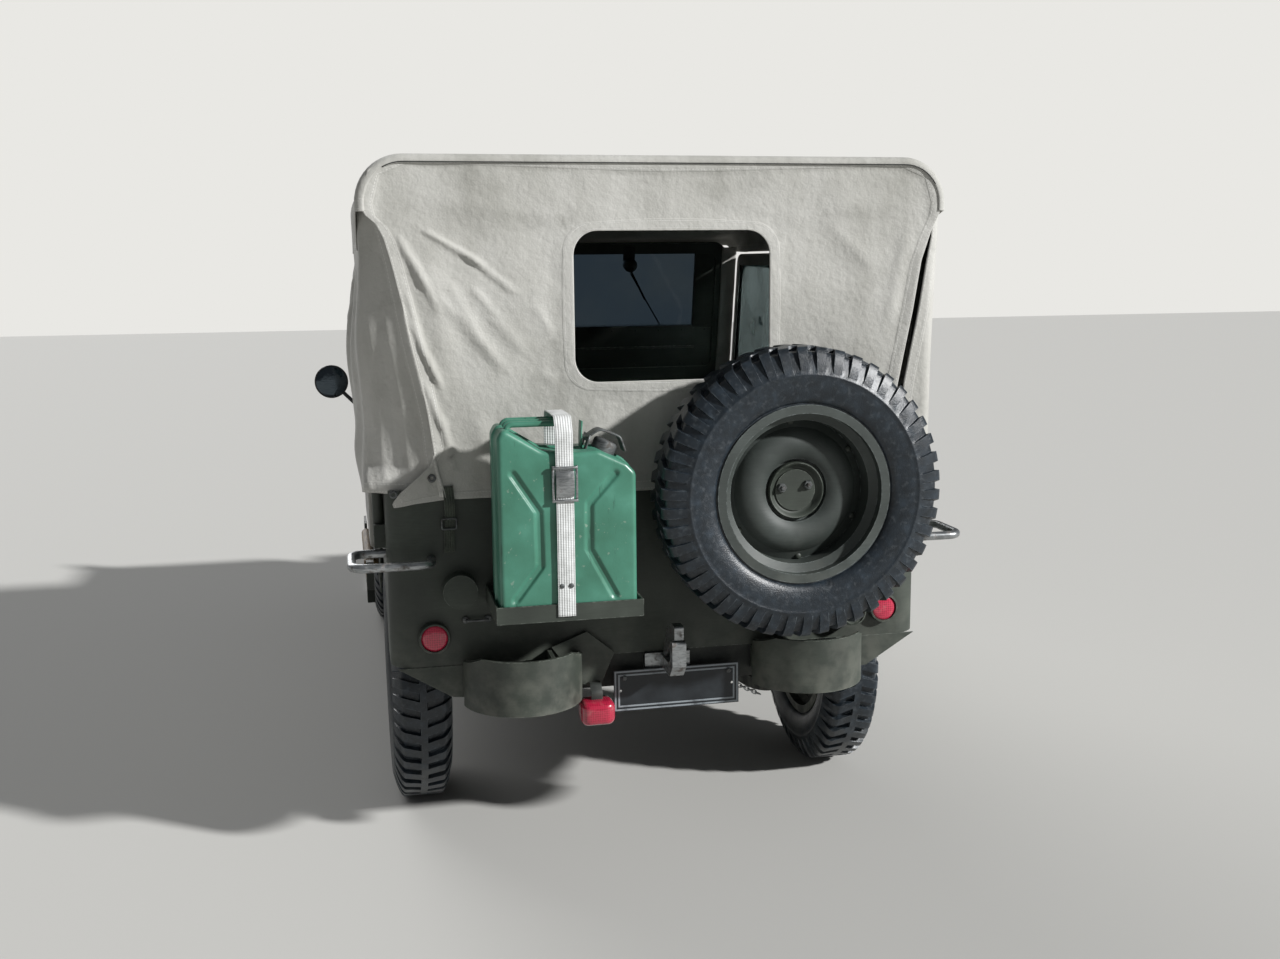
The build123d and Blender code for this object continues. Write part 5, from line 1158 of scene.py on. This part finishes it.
def onShoulder(places, side=0.0):
    # (x, z) about the cap's place, this far to one side of the can's middle plane
    return np.insert(np.asarray(places, dtype=float), 1, side, axis=1) + canCap["at"]


def makeCanCap():
    # a turned cap, and bent bars about it
    c = canCap
    arm = onShoulder(bent(c["arm"], c["armBend"]))
    parts = [turned(c["profile"], c["at"], c["slope"], 40),
             swept(evenly(arm, 24), barSection(0.046, 0.005, 0.0015))]
    for side in (-c["earSide"], c["earSide"]):
        parts.append(swept(evenly(onShoulder(c["ear"], side), 4),
                           barSection(0.004, 0.022, 0.001), (0, 1, 0)))
    rod = [onShoulder([c["rodAt"]], side)[0] for side in (-c["rodHalf"], 0, c["rodHalf"])]
    parts.append(swept(rod, ring(c["rod"], 12)))
    layPiece("canCap", *joined(parts), "cast_metal")
    plate = swept(onShoulder(c["plate"]), barSection(0.034, 0.004, 0.0012)[:, ::-1], (0, 1, 0))
    layPiece("canBracket", *plate, "can_paint")


makeCanCap()

# Strap over the can, with its buckle, and two rivets low on the front
strap = dict(
    x=-0.300, section=(0.042, 0.0035, 0.0012), bend=0.012,
    # its run in (y, z), up the front, over the top, down the back and to the panel
    route=((-0.2425, 0.712), (-0.2440, 0.950), (-0.2405, 1.150), (-0.2220, 1.1875),
           (-0.1520, 1.1885), (-0.0780, 1.1870), (-0.0655, 1.140), (-0.0640, 0.930),
           (-0.0075, 0.915)),
    face=-0.2455, buckle=(0.992, 1.070), buckleHalf=0.030, sides=(0.988, 1.074), sideAt=0.028,
    tongue=((-0.2475, 1.002), (-0.2515, 1.030), (-0.2475, 1.062)), rivets=(0.011, 0.787),
)


def layStrap(name, path, section, look=None):
    # webbing along a path, which its weave follows
    section = barSection(*section)
    points, faces = swept(path, section[:, ::-1], (1, 0, 0))
    weave = np.stack([np.tile(section[:, 0], len(path)),
                      np.repeat(runOf(path), len(section))], axis=1)
    weave = np.concatenate([weave, np.zeros((len(points) - len(weave), 2))])
    return layPiece(name, points, faces, "webbing", look=look, maps={"cloth": weave})


def makeStrap():
    # the route with round bends, and a frame of bars for the buckle
    s, x, face = strap, strap["x"], strap["face"]
    path = evenly(bent(np.insert(s["route"], 0, x, axis=1), s["bend"], 6), 130)
    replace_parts(layStrap("canStrap", path, s["section"]), "can_strap")
    bars = [swept(evenly(((x - s["buckleHalf"], face, h), (x + s["buckleHalf"], face, h)), 3),
                  barSection(0.006, 0.012, 0.002), (0, 1, 0)) for h in s["buckle"]]
    bars += [swept(evenly([(x + side, face, h) for h in s["sides"]], 3),
                   barSection(0.006, 0.006, 0.002), (0, 1, 0))
             for side in (-s["sideAt"], s["sideAt"])]
    bars.append(swept(np.insert(s["tongue"], 0, x, axis=1), barSection(0.006, 0.044, 0.002),
                      (1, 0, 0)))
    layPiece("strapBuckle", *joined(bars), "bare_steel", bevel=0.001)
    side, height = s["rivets"]
    rivets = bolts([(x - side, face + 0.001, height), (x + side, face + 0.001, height)],
                   (0, -1, 0), 0.006, 0.003, 12)
    layPiece("strapRivets", *joined(rivets), "cast_metal")


makeStrap()
print("fuel can made")

# Lamps and reflectors on the rear panel: profiles are (out from the panel, radius)
rearLamps = dict(
    height=0.615, reflectorX=0.600, tailX=0.503,
    rim=((0.0, 0.036), (0.0, 0.040), (0.016, 0.040), (0.021, 0.038), (0.0215, 0.034),
         (0.017, 0.0335), (0.014, 0.0335)),
    lens=((0.012, 0.035), (0.0155, 0.034), (0.019, 0.027), (0.0205, 0.014), (0.021, 1e-6)),
    tail=((0.0, 1e-6), (0.0, 0.030), (0.012, 0.036), (0.040, 0.036), (0.047, 0.034),
          (0.048, 0.030), (0.044, 0.029), (0.042, 1e-6)),
    hood=((0.468, -0.046, 0.636), (0.538, -0.046, 0.636)),
    slit=(0.044, 0.012, 0.005), slitAt=(0.503, 0.618), slitY=(-0.046, -0.050),
)


def stacked(outline, middle, layers):
    # an outline of (x, z) about its middle, laid at each layer's (y, share of its size)
    rows = np.asarray(layers, dtype=float)[:, None]
    x = middle[0] + outline[None, :, 0] * rows[..., 1]
    z = middle[1] + outline[None, :, 1] * rows[..., 1]
    return lidded(np.stack([x, rows[..., 0] + 0 * x, z], axis=2))


def makeRearLamps():
    # turned shells with turned lenses, and a slit under the tail lamp's hood
    c, out = rearLamps, (0, -1, 0)
    spots = [(x, 0, c["height"]) for x in (-c["reflectorX"], c["reflectorX"])]
    shells = [turned(c["rim"], spot, out, 56) for spot in spots]
    shells.append(turned(c["tail"], (c["tailX"], 0, c["height"]), out, 56))
    shells.append(swept(evenly(c["hood"], 5), barSection(0.010, 0.006, 0.002)))
    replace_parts(layPiece("rearLampShells", *joined(shells), "body_paint", sharp=40),
                "rear_lamps")
    lenses = [turned(c["lens"], spot, out, 56) for spot in spots]
    layPiece("reflectorLenses", *joined(lenses), "red_lens")
    slit = stacked(barSection(*c["slit"], 5), c["slitAt"], [(y, 1) for y in c["slitY"]])
    layPiece("tailLens", *slit, "red_lens")


makeRearLamps()

# A round-ended red lamp below the left bumperette, on its bent bracket
fogLamp = dict(
    middle=(-0.1955, 0.4035), y=-0.050, face=(0.088, 0.062, 0.018),
    # depth from its middle, and the share of its face there
    layers=((0.036, 0.86), (0.030, 0.97), (0.020, 1.0), (-0.012, 1.0), (-0.022, 0.95),
            (-0.030, 0.80), (-0.034, 0.50)),
    arm=((0.010, 0.470), (-0.030, 0.470), (-0.048, 0.452), (-0.048, 0.430)),
)


def makeFogLamp():
    # its rounded face at each layer's share, and a bent flat arm
    c = fogLamp
    layers = np.array(c["layers"]) + (c["y"], 0)
    layPiece("fogLamp", *stacked(barSection(*c["face"], 6), c["middle"], layers), "red_lens",
             look=redPaint)
    arm = evenly(bent(np.insert(c["arm"], 0, c["middle"][0], axis=1), 0.010), 20)
    layPiece("fogLampBracket", *swept(arm, barSection(0.030, 0.004, 0.001)[:, ::-1], (1, 0, 0)),
             "chassis_paint")


makeFogLamp()
print("lamps made")

# Headlights, marker lamps and the driving lamp on the left wing, all facing forward:
# each profile is (forward from the back, radius)
frontLamps = dict(
    head=dict(places=((-0.338, 0.800), (0.338, 0.800)), back=2.7245,
              shell=((0.0, 1e-6), (0.0, 0.045), (0.012, 0.068), (0.035, 0.082), (0.055, 0.0855),
                     (0.057, 0.0895), (0.073, 0.0895), (0.077, 0.087), (0.0775, 0.083),
                     (0.066, 0.0815), (0.048, 0.072), (0.030, 0.052), (0.022, 0.026),
                     (0.020, 1e-6)),
              bowl=((0.062, 0.0790), (0.049, 0.0710), (0.032, 0.0505), (0.0245, 0.026),
                    (0.0225, 0.010), (0.034, 0.010), (0.040, 0.007), (0.042, 1e-6)),
              lens=((0.064, 1e-6), (0.064, 0.0805), (0.0685, 0.0822), (0.0725, 0.0790),
                    (0.0760, 0.060), (0.0785, 0.035), (0.0795, 0.015), (0.0797, 1e-6))),
    marker=dict(places=((-0.338, 0.655), (0.338, 0.655)), back=2.7495,
                shell=((0.0, 1e-6), (0.0, 0.022), (0.010, 0.0275), (0.026, 0.0295),
                       (0.040, 0.0298), (0.043, 0.0270), (0.040, 0.0255), (0.035, 0.0250),
                       (0.034, 1e-6)),
                lens=((0.0355, 1e-6), (0.0355, 0.0250), (0.0405, 0.0250), (0.0475, 0.018),
                      (0.0520, 0.008), (0.0525, 1e-6))),
    driving=dict(places=((-0.542, 0.950),), back=2.8305,
                 shell=((0.0, 1e-6), (0.0, 0.020), (0.008, 0.036), (0.026, 0.048),
                        (0.044, 0.0525), (0.046, 0.0548), (0.061, 0.0548), (0.065, 0.052),
                        (0.062, 0.0490), (0.057, 0.0480), (0.040, 0.036), (0.030, 1e-6)),
                 bowl=((0.054, 0.0460), (0.042, 0.0355), (0.034, 0.014), (0.044, 0.006),
                       (0.046, 1e-6)),
                 lens=((0.0575, 1e-6), (0.0575, 0.0480), (0.0620, 0.0485), (0.069, 0.034),
                       (0.0735, 0.015), (0.0740, 1e-6))),
)
# the driving lamp's stem on the wing, and the three screws in each headlight's rim
lampStem = dict(at=(-0.542, 2.8675, 0.8645),
                profile=((0.0, 1e-6), (0.0, 0.024), (0.004, 0.024), (0.008, 0.0125),
                         (0.034, 0.0115), (0.046, 0.0115), (0.046, 1e-6)))
lampScrews = dict(circle=0.0865, y=2.800, turns=(90, 210, 330))


def makeFrontLamps():
    # each lamp is a shell, a lens and a bowl turned about the same line forward
    shells, bowls, lenses = [], [], []
    for lamp in frontLamps.values():
        for x, z in lamp["places"]:
            at = (x, lamp["back"], z)
            shells.append(turned(lamp["shell"], at, (0, 1, 0), 56))
            lenses.append(turned(lamp["lens"], at, (0, 1, 0), 56))
            if "bowl" in lamp:
                # the bowl's face, its rim, and its back 1.5 mm behind
                face = np.array(lamp["bowl"])
                back = face[:4] - (0.0015, 0)
                bowls.append(turned(np.concatenate([
                    face[::-1], face[:1] + (-0.001, 0.0005), back, [(back[3, 0], 1e-6)]]),
                    at, (0, 1, 0), 48))
    shells.append(turned(lampStem["profile"], lampStem["at"], (0, 0, 1), 28))
    for x, z in frontLamps["head"]["places"]:
        shells += bolts([(x + lampScrews["circle"] * cos(a), lampScrews["y"],
                          z + lampScrews["circle"] * sin(a))
                         for a in np.radians(lampScrews["turns"])],
                        (0, 1, 0), 0.0035, 0.0022, 10)
    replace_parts(layPiece("lampShells", *joined(shells), "body_paint", sharp=40), "headlamps")
    layPiece("lampBowls", *joined(bowls), "bare_steel")
    layPiece("lampLenses", *joined(lenses), "lamp_glass")


makeFrontLamps()
print("front lamps made")

# Windscreen: steel below and beside each pane, canvas flaps at its sides, wipers.
# Places on it are (x, height up the slope, depth behind the glass).
screen = dict(
    foot=(1.862, 1.036), up=(-0.2039, 0.9790), apron=(0.095, 0.265), stile=0.548,
    edge=0.634, pane=0.553, steel=0.017, bead=(0.070, 0.560, 0.085),
    screwRows=(0.045, 0.600, 7), screwIn=0.016, skin=0.0085,
    flap=(0.652, 0.7095), flapHeight=(0.004, 0.572), flapDepth=0.0150,
)
# Wipers: the motor behind the frame, the spindle through it, the arm and the blade
wiper = dict(
    at=(0.286, 0.512, 0.0165),
    motor=((0.0, 1e-6), (0.0, 0.020), (0.003, 0.025), (0.030, 0.026), (0.036, 0.023),
           (0.044, 0.014), (0.046, 1e-6)),
    spindle=((0.0, 1e-6), (0.0, 0.006), (0.030, 0.006), (0.032, 0.009), (0.040, 0.009),
             (0.043, 0.006), (0.043, 1e-6)),
    plate=(0.500, 0.578, 0.0148), screws=(0.015, 0.567, 0.0163),
    # across from the spindle, height and depth
    arm=((0.0, 0.512, -0.0215), (0.020, 0.470, -0.0225), (0.075, 0.365, -0.0150)),
    bladeHalf=0.062, bladeUp=0.105, bladeDown=-0.100, bladeDepth=-0.0090, bladeBow=0.0050,
)
slope = np.array((0, *screen["up"]))
behind = np.cross((1, 0, 0), slope)


def onScreen(x, height, depth):
    # foot + height along the slope + depth square to it, towards the seats
    x, height, depth = (k[..., None] for k in np.broadcast_arrays(x, height, depth))
    return x * (1, 0, 0) + (0, *screen["foot"]) + height * slope + depth * behind


def makeScreen():
    # bars laid on the windscreen's slope, mirrored about its middle post
    s, steel, screws = screen, [], []
    low, high = s["apron"]
    for hand in (-1, 1):
        across = onScreen(np.linspace(0.016, s["edge"], 3) * hand, (low + high) / 2, 0.0)
        steel.append(swept(across[::hand], barSection(s["steel"], high - low, 0.004), slope))
        along = onScreen((s["stile"] + s["edge"]) / 2 * hand,
                         np.linspace(high - 0.01, s["pane"], 3), 0.0)
        steel.append(swept(along, barSection(s["edge"] - s["stile"], s["steel"], 0.004),
                           behind))
        # a pressed bead along the apron, and its rows of screws on both faces
        start, end, up = s["bead"]
        bead = onScreen(np.linspace(start, end, 3) * hand, low + up, s["skin"])
        steel.append(swept(bead[::hand], ring(0.006, 10, 0.6), slope))
        for x in np.linspace(*s["screwRows"]) * hand:
            for h in (low + s["screwIn"], high - s["screwIn"]):
                for face in (1, -1):
                    screws += bolts([onScreen(x, h, face * s["skin"])], face * behind,
                                    0.004, 0.003, 10)
    layPiece("windscreenPanels", *joined(steel), "body_paint", bevel=0.001)
    layPiece("windscreenScrews", *joined(screws), "chassis_paint")


def makeFlaps():
    # a narrow strip up each side, waving a little more towards its outer edge
    inner, outer = screen["flap"]
    foot, head = screen["flapHeight"]
    for hand, side in ((-1, "Left"), (1, "Right")):
        h, x = np.meshgrid(np.linspace(foot, head, 60), np.linspace(inner, outer, 9),
                           indexing="ij")
        wave = 0.0012 * np.sin(tau * h / 0.13) * (x - inner) / 0.05
        layCloth(f"screenFlap{side}", onScreen(x * hand, h, screen["flapDepth"] + wave),
                 np.stack([x, h], axis=2), np.stack([outer - x, h], axis=2),
                 wall=0.002, flip=hand < 0)


def makeWipers():
    # turned motor and spindle on one line, a flat arm, and a blade that bows off the glass
    w, motors, arms = wiper, [], []
    for hand in (-1, 1):
        x, height, depth = w["at"][0] * hand, *w["at"][1:]
        spot = onScreen(x, height, depth)
        motors.append(turned(w["motor"], spot, behind, 36))
        foot, head, plateDepth = w["plate"]
        motors.append(swept(onScreen(x, np.linspace(foot, head, 3), plateDepth),
                            barSection(0.046, 0.003, 0.001), behind))
        side, up, screwDepth = w["screws"]
        motors += bolts(onScreen(x + np.array((-side, side)), up, screwDepth), behind,
                        0.005, 0.003, 6)
        arms.append(turned(w["spindle"], spot, -behind, 20))
        reach = bent([onScreen(x + a, h, d) for a, h, d in w["arm"]], 0.05)
        arms.append(swept(evenly(reach, 18), barSection(0.008, 0.003, 0.001), behind))
        tip, tipHeight, _ = w["arm"][-1]
        blade = onScreen(x + tip + np.linspace(-w["bladeHalf"], w["bladeHalf"], 14),
                         tipHeight + np.linspace(w["bladeUp"], w["bladeDown"], 14),
                         w["bladeDepth"] - w["bladeBow"] * np.sin(np.linspace(0, pi, 14)))
        arms.append(swept(blade, barSection(0.005, 0.006, 0.001), behind))
    layPiece("wiperMotors", *joined(motors), "mirror_paint", sharp=40)
    layPiece("wiperArms", *joined(arms), "mirror_paint")


makeScreen()
makeFlaps()
makeWipers()
print("windscreen finished")

# Seat pads: a crowned box of canvas, blown up a little between its sewn edges. low and high
# are the solid's corners, and the face that bulges looks along the axis of that number.
pads = dict(
    seatBase=dict(low=(-0.185, 1.030, 0.745), high=(0.185, 1.385, 0.810), face=2,
                  voxel=0.008, cap=0.012, rolls=3, spots=dict(Left=-0.370, Right=0.370)),
    seatBack=dict(low=(-0.185, 0.965, 0.825), high=(0.185, 1.010, 1.100), face=1,
                  voxel=0.008, cap=0.010, rolls=3, spots=dict(Left=-0.370, Right=0.370)),
    benchBase=dict(low=(-0.405, 0.360, 0.738), high=(0.405, 0.690, 0.803), face=2,
                   voxel=0.010, cap=0.012, rolls=5, spots={"": 0.0}),
    benchBack=dict(low=(-0.405, 0.312, 0.818), high=(0.405, 0.357, 0.980), face=1,
                   voxel=0.009, cap=0.010, rolls=5, spots={"": 0.0}),
)
sewing = dict(height=0.62, spread=0.16, channel=0.007, crown=0.006, cord=0.0028, cordIn=0.0048)


def roundBox(low, high, rounding, count):
    # six grids on a cube: each point is clamped to an inner box, then stands off it by rounding
    a = np.linspace(-1, 1, count)
    u, v = np.meshgrid(a, a, indexing="ij")
    one = np.ones_like(u)
    sides = [np.roll(np.stack([hand * one, u, v * hand], axis=2), axis, axis=2)
             for axis in range(3) for hand in (-1, 1)]
    points = np.stack(sides).reshape(-1, 3)
    middle, half = (low + high) / 2, (high - low) / 2
    core = np.clip(points * half, -(half - rounding), half - rounding)
    away = points * half - core
    away /= np.maximum(np.linalg.norm(away, axis=1), 1e-9)[:, None]
    cells = np.concatenate([gridFaces(count, count) + k * count * count for k in range(6)])
    return middle + core + away * rounding, cells


def flatten(piece):
    # the modifiers' result becomes the piece's own mesh
    bpy.context.view_layer.update()
    seen = piece.evaluated_get(bpy.context.evaluated_depsgraph_get())
    mesh = bpy.data.meshes.new_from_object(seen)
    piece.modifiers.clear()
    piece.data = mesh


def meshPoints(piece):
    # the mesh's points as rows of x, y and z
    co = np.empty(len(piece.data.vertices) * 3)
    piece.data.vertices.foreach_get("co", co)
    return co.reshape(-1, 3)


def movePoints(piece, points):
    # gives the mesh these points
    piece.data.vertices.foreach_set("co", points.astype(np.float32).ravel())
    piece.data.update()


def blowUp(piece):
    # pressure from inside swells the pad for twenty frames
    blow = piece.modifiers.new("blow", "CLOTH")
    blow.settings.use_pressure = True
    blow.settings.uniform_pressure_force = 4.0
    blow.settings.effector_weights.gravity = 0.0
    blow.settings.quality = 4
    blow.settings.tension_stiffness = blow.settings.compression_stiffness = 18.0
    blow.point_cache.frame_start, blow.point_cache.frame_end = 1, 20
    for step in range(1, 21):
        scene.frame_set(step)
    flatten(piece)
    scene.frame_set(1)


def swellPad(name, pad):
    # the start is smaller than its solid; pressure swells it, and no point moves past the cap
    low, high, axis = np.array(pad["low"]), np.array(pad["high"]), pad["face"]
    other, face = 3 - axis, np.eye(3)[axis]
    shrink = np.where(face > 0, 0.009, 0.005)
    piece = layPiece(name, *roundBox(low + shrink * (1 - face), high - shrink, 0.014, 26),
                     "seat_canvas")
    rest = piece.modifiers.new("remesh", "REMESH")
    rest.mode, rest.voxel_size, rest.use_smooth_shade = "VOXEL", pad["voxel"], True
    flatten(piece)
    start = meshPoints(piece)
    blowUp(piece)
    moved = meshPoints(piece) - start
    far = np.linalg.norm(moved, axis=1)
    half, centre = (high - low) / 2, (low + high) / 2 + carShift
    height = (start[:, axis] - centre[axis]) / half[axis]
    # the cap is nothing along the two sewn edges, and small on the side that rests
    sewn = 1 - 0.9 * sum(np.exp(-((height - side * sewing["height"]) / sewing["spread"]) ** 2)
                         for side in (1, -1))
    cap = pad["cap"] * np.clip(sewn, 0.05, 1) * np.where(height < -0.75, 0.08, 1)
    shape = start + moved * np.minimum(1, cap / np.maximum(far, 1e-9))[:, None]
    # crown the face, and press its sewn channels in
    across = (shape[:, 0] - centre[0]) / half[0]
    deep = (shape[:, other] - centre[other]) / half[other]
    onFace = smooth(height, 0.4, 0.9)
    lines = np.arange(1, pad["rolls"] + 1) * 2 / (pad["rolls"] + 1) - 1
    near = np.abs(across[:, None] - lines).min(axis=1) * half[0]
    channel = np.exp(-(near / sewing["channel"]) ** 2) * smooth(1 - np.abs(deep), 0.02, 0.16)
    crown = sewing["crown"] * (1 - across ** 4) * (1 - deep ** 4)
    shape[:, axis] += onFace * (crown - sewing["channel"] * channel)
    # and a few creases, pulled from the sewn edges
    shape[:, axis] += onFace * ripples(shape[:, 0], shape[:, other], 0.11, 0.0016)
    movePoints(piece, np.clip(shape, low + carShift - 0.002, high + carShift + 0.004))
    return piece


def welt(pad, shift):
    # the cord sewn into the pad's two edges, round its outline at the seam's height
    low, high, axis = np.array(pad["low"]), np.array(pad["high"]), pad["face"]
    other, half, middle = 3 - axis, (high - low) / 2, (low + high) / 2
    w, h = 2 * (half[[0, other]] - sewing["cordIn"])
    outline = evenly(barSection(w, h, 0.013, 8), 120, loop=True)
    for side in (1, -1):
        points = np.empty((120, 3))
        points[:, 0] = outline[:, 0] + middle[0] + shift
        points[:, other] = outline[:, 1] + middle[other]
        points[:, axis] = middle[axis] + side * sewing["height"] * half[axis]
        yield swept(points, ring(sewing["cord"], 6), np.eye(3)[axis], loop=True)


def makePads():
    # each master pad is swollen once, then set at each of its spots, with its cords
    cords, made = [], []
    for kind, pad in pads.items():
        master = swellPad(kind, pad)
        at = meshPoints(master)
        for count, (side, spot) in enumerate(pad["spots"].items(), 1):
            piece = master
            if count < len(pad["spots"]):
                piece = master.copy()
                piece.data = master.data.copy()
                scene.collection.objects.link(piece)
                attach(piece, "chassis")
            piece.name = kind + side
            movePoints(piece, at + (spot, 0, 0))
            rounding = piece.modifiers.new("soft", "SUBSURF")
            rounding.levels = rounding.render_levels = 1
            made.append(piece)
            cords += welt(pad, spot)
    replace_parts(made[0], "seat_pads")
    layPiece("padWelts", *joined(cords), "seat_canvas")


makePads()
print("seat pads made")

# Wheel fixings: nuts, rivets and a valve on each road wheel, and the spare's dish and nuts.
# Depths are outward from the wheel's middle; rows are count, circle, depth and turn.
fixings = dict(
    nuts=(5, 0.067, -0.0165, 90), rivets=(6, 0.172, -0.0185, 30), flange=(6, 0.037, 0.0155, 0),
    valve=((0.181, -0.012), (0.158, 0.016)), valveTurn=55, valveRadius=0.0045, spareTurn=86,
    nut=((-0.003, 0.0125), (0.010, 0.0125), (0.013, 0.0105), (0.013, 0.0062), (0.019, 0.0058),
         (0.0205, 0.004), (0.0205, 1e-6)),
    rivet=((-0.004, 0.009), (0.001, 0.009), (0.004, 0.007), (0.0055, 0.0035), (0.0058, 1e-6)),
    dish=((-0.020, 0.0715), (-0.004, 0.0725), (0.000, 0.0715), (0.002, 0.0690),
          (-0.001, 0.0640), (-0.008, 0.0610), (-0.012, 0.0540), (-0.0125, 1e-6)),
    washer=((-0.004, 0.017), (-0.001, 0.017), (0.0005, 0.0155), (0.0005, 1e-6)),
    # the spare's two nuts
    spareNuts=((0.262, -0.148, 0.981), (0.330, -0.148, 0.986)),
)


def spotsRound(wheel, count, circle, depth, turn):
    # places on a circle square to the axle
    out, up = np.asarray(wheel["out"], dtype=float), np.array((0, 0, 1.0))
    a = radians(turn) + np.arange(count)[:, None] * tau / count
    return (wheel["centre"] + out * depth
            + circle * (np.cos(a) * np.cross(out, up) + np.sin(a) * up))


def makeFixings():
    # turned nuts, rivets and screws on circles about each axle, and a valve as a rod
    f = fixings
    for name, wheel in roadWheels.items():
        out = wheel["out"]
        parts = [turned(f["nut"], p, out, 6) for p in spotsRound(wheel, *f["nuts"])]
        parts += [turned(f["rivet"], p, out, 16) for p in spotsRound(wheel, *f["rivets"])]
        foot, tip = (spotsRound(wheel, 1, *at, f["valveTurn"])[0] for at in f["valve"])
        parts.append(swept(np.linspace(foot, tip, 4), ring(f["valveRadius"], 10)))
        parts += bolts(spotsRound(wheel, *f["flange"]), out, 0.0055, 0.005)
        layPiece(f"wheelFixings_{name}", *joined(parts), "chassis_paint", body=f"wheel_{name}",
                 look=finishes["cast_metal"], sharp=30)
    out = spareWheel["out"]
    parts = [turned(f["rivet"], p, out, 16)
             for p in spotsRound(spareWheel, *f["rivets"][:3], f["spareTurn"])]
    layPiece("spareRivets", *joined(parts), "body_paint")
    layPiece("spareDish", *turned(f["dish"], spareWheel["centre"], out, 72), "cast_metal",
             look=finishes["body_paint"], sharp=50)
    nuts = [turned(f[kind], spot, out, sides) for kind, sides in (("nut", 6), ("washer", 28))
            for spot in f["spareNuts"]]
    layPiece("spareNuts", *joined(nuts), "cast_metal", sharp=30)


makeFixings()
print("wheel fixings made")

# Small things on the tail. Flat plates are (x, z) outlines with a near and a far face.
tail = dict(
    eyelet=((-0.002, 0.0045), (0.003, 0.0045), (0.0035, 0.007), (0.002, 0.0105),
            (-0.002, 0.0105), (-0.002, 0.0045)),
    eyeletSpots=((-0.593, -0.011, 1.021), (-0.687, -0.011, 0.985)),
    loop=((-0.520, -0.004), (-0.516, -0.016), (-0.468, -0.016), (-0.464, -0.004)),
    loopZ=0.655, loopFoot=((-0.001, 0.009), (0.002, 0.009), (0.003, 0.007), (0.003, 1e-6)),
    strap=((-0.555, -0.0135, 1.000), (-0.555, -0.0145, 0.955), (-0.554, -0.0100, 0.930),
           (-0.553, -0.0070, 0.880), (-0.552, -0.0085, 0.832)),
    strapSection=(0.026, 0.003, 0.001), buckle=(0.036, 0.026, 0.004),
    buckleAt=(-0.554, -0.0125, 0.905),
    plateBolts=((-0.118, 0.162), -0.0255, 0.478),
    trayBolts=((-0.440, -0.290, -0.140), -0.0038, 0.662),
    skirt=((-0.694, 0.538), (-0.558, 0.455), (-0.500, 0.450), (-0.470, 0.452),
           (-0.470, 0.538)),
    gusset=((-0.305, 0.570), (-0.213, 0.606), (-0.141, 0.546), (-0.182, 0.452),
            (-0.235, 0.470)),
    worn=((0.232, 0.583), (0.388, 0.583), (0.388, 0.594), (0.232, 0.594)),
    # the chain: its first link's place, the step to the next, and a link's long axis
    chain=(0.193, -0.020, 0.432), chainStep=(0.011, 0.002, -0.006),
    linkLong=(0.88, 0.16, -0.45), linkHalf=(0.0095, 0.0055), links=6, wire=0.0017,
)


def plateOf(outline, near, far):
    # the outline at its near and its far face
    return stacked(np.asarray(outline), (0, 0), ((near, 1), (far, 1)))


def makeTail():
    # turned, bent and flat pieces, each at its own place in the dictionary above
    t, out = tail, (0, -1, 0)
    eyelets = [turned(t["eyelet"], spot, out, 24) for spot in t["eyeletSpots"]]
    layPiece("canvasEyelets", *joined(eyelets), "cast_metal")
    loop = bent(np.insert(t["loop"], 2, t["loopZ"], axis=1), 0.006)
    parts = [swept(evenly(loop, 24), ring(0.0032, 8))]
    parts += [turned(t["loopFoot"], loop[end], out, 20) for end in (0, -1)]
    layPiece("footmanLoop", *joined(parts), "body_paint", look=finishes["cast_metal"])
    path = evenly(t["strap"], 40)
    path[:, 0] += 0.003 * np.sin(np.linspace(0, 5, 40))
    layStrap("cornerStrap", path, t["strapSection"], oliveWebbing)
    around = np.insert(barSection(*t["buckle"]), 1, 0, axis=1) + t["buckleAt"]
    layPiece("cornerBuckle", *swept(around, ring(0.0026, 8), (0, 1, 0), loop=True),
             "cast_metal")
    heads = []
    for (places, y, z), radius, height in ((t["plateBolts"], 0.007, 0.005),
                                           (t["trayBolts"], 0.008, 0.006)):
        heads += bolts([(x, y, z) for x in places], out, radius, height)
    layPiece("tailBolts", *joined(heads), "cast_metal", sharp=30)
    # skirts from the tub's lower corners down behind the bumperettes, and a bent gusset
    plates = [plateOf(np.array(t["skirt"]) * (-hand, 1), -0.002, 0.002) for hand in (-1, 1)]
    plates.append(plateOf(t["gusset"], -0.014, -0.010))
    layPiece("tailPlates", *joined(plates), "body_paint", smooth=False, bevel=0.001)
    # a worn strip on the tub's lower edge, and a short chain by the plate
    layPiece("wornStrip", *plateOf(t["worn"], -0.0075, -0.0045), "bare_steel", smooth=False)
    links, a = [], np.arange(14)[:, None] * tau / 14
    half, wide = t["linkHalf"]
    for k in range(t["links"]):
        turn = np.array((0, 1.0, 0) if k % 2 else (0, 0, 1.0))
        oval = (np.array(t["chain"]) + k * np.array(t["chainStep"])
                + half * np.cos(a) * t["linkLong"] + wide * np.sin(a) * turn)
        links.append(swept(oval, ring(t["wire"], 7), (0.1, 0.9, 0.4), loop=True))
    layPiece("plateChain", *joined(links), "bare_steel")


makeTail()

# Mirror glass on the left door mirror, slightly domed
doorMirror = dict(centre=(-0.839, 1.883, 1.105), radius=0.0575)


def makeMirror():
    # a shallow dome of glass, turned about the way it faces
    r = doorMirror["radius"]
    glass = turned([(-0.002, 1e-6), (-0.002, r), (0.001, r), (0.0022, r * 0.97), (0.0036, r * 0.6),
                    (0.0042, 1e-6)], doorMirror["centre"], (0, -1, 0), 56)
    layPiece("mirrorGlass", *glass, "mirror_paint", look=silvered)


makeMirror()
print("small pieces made")
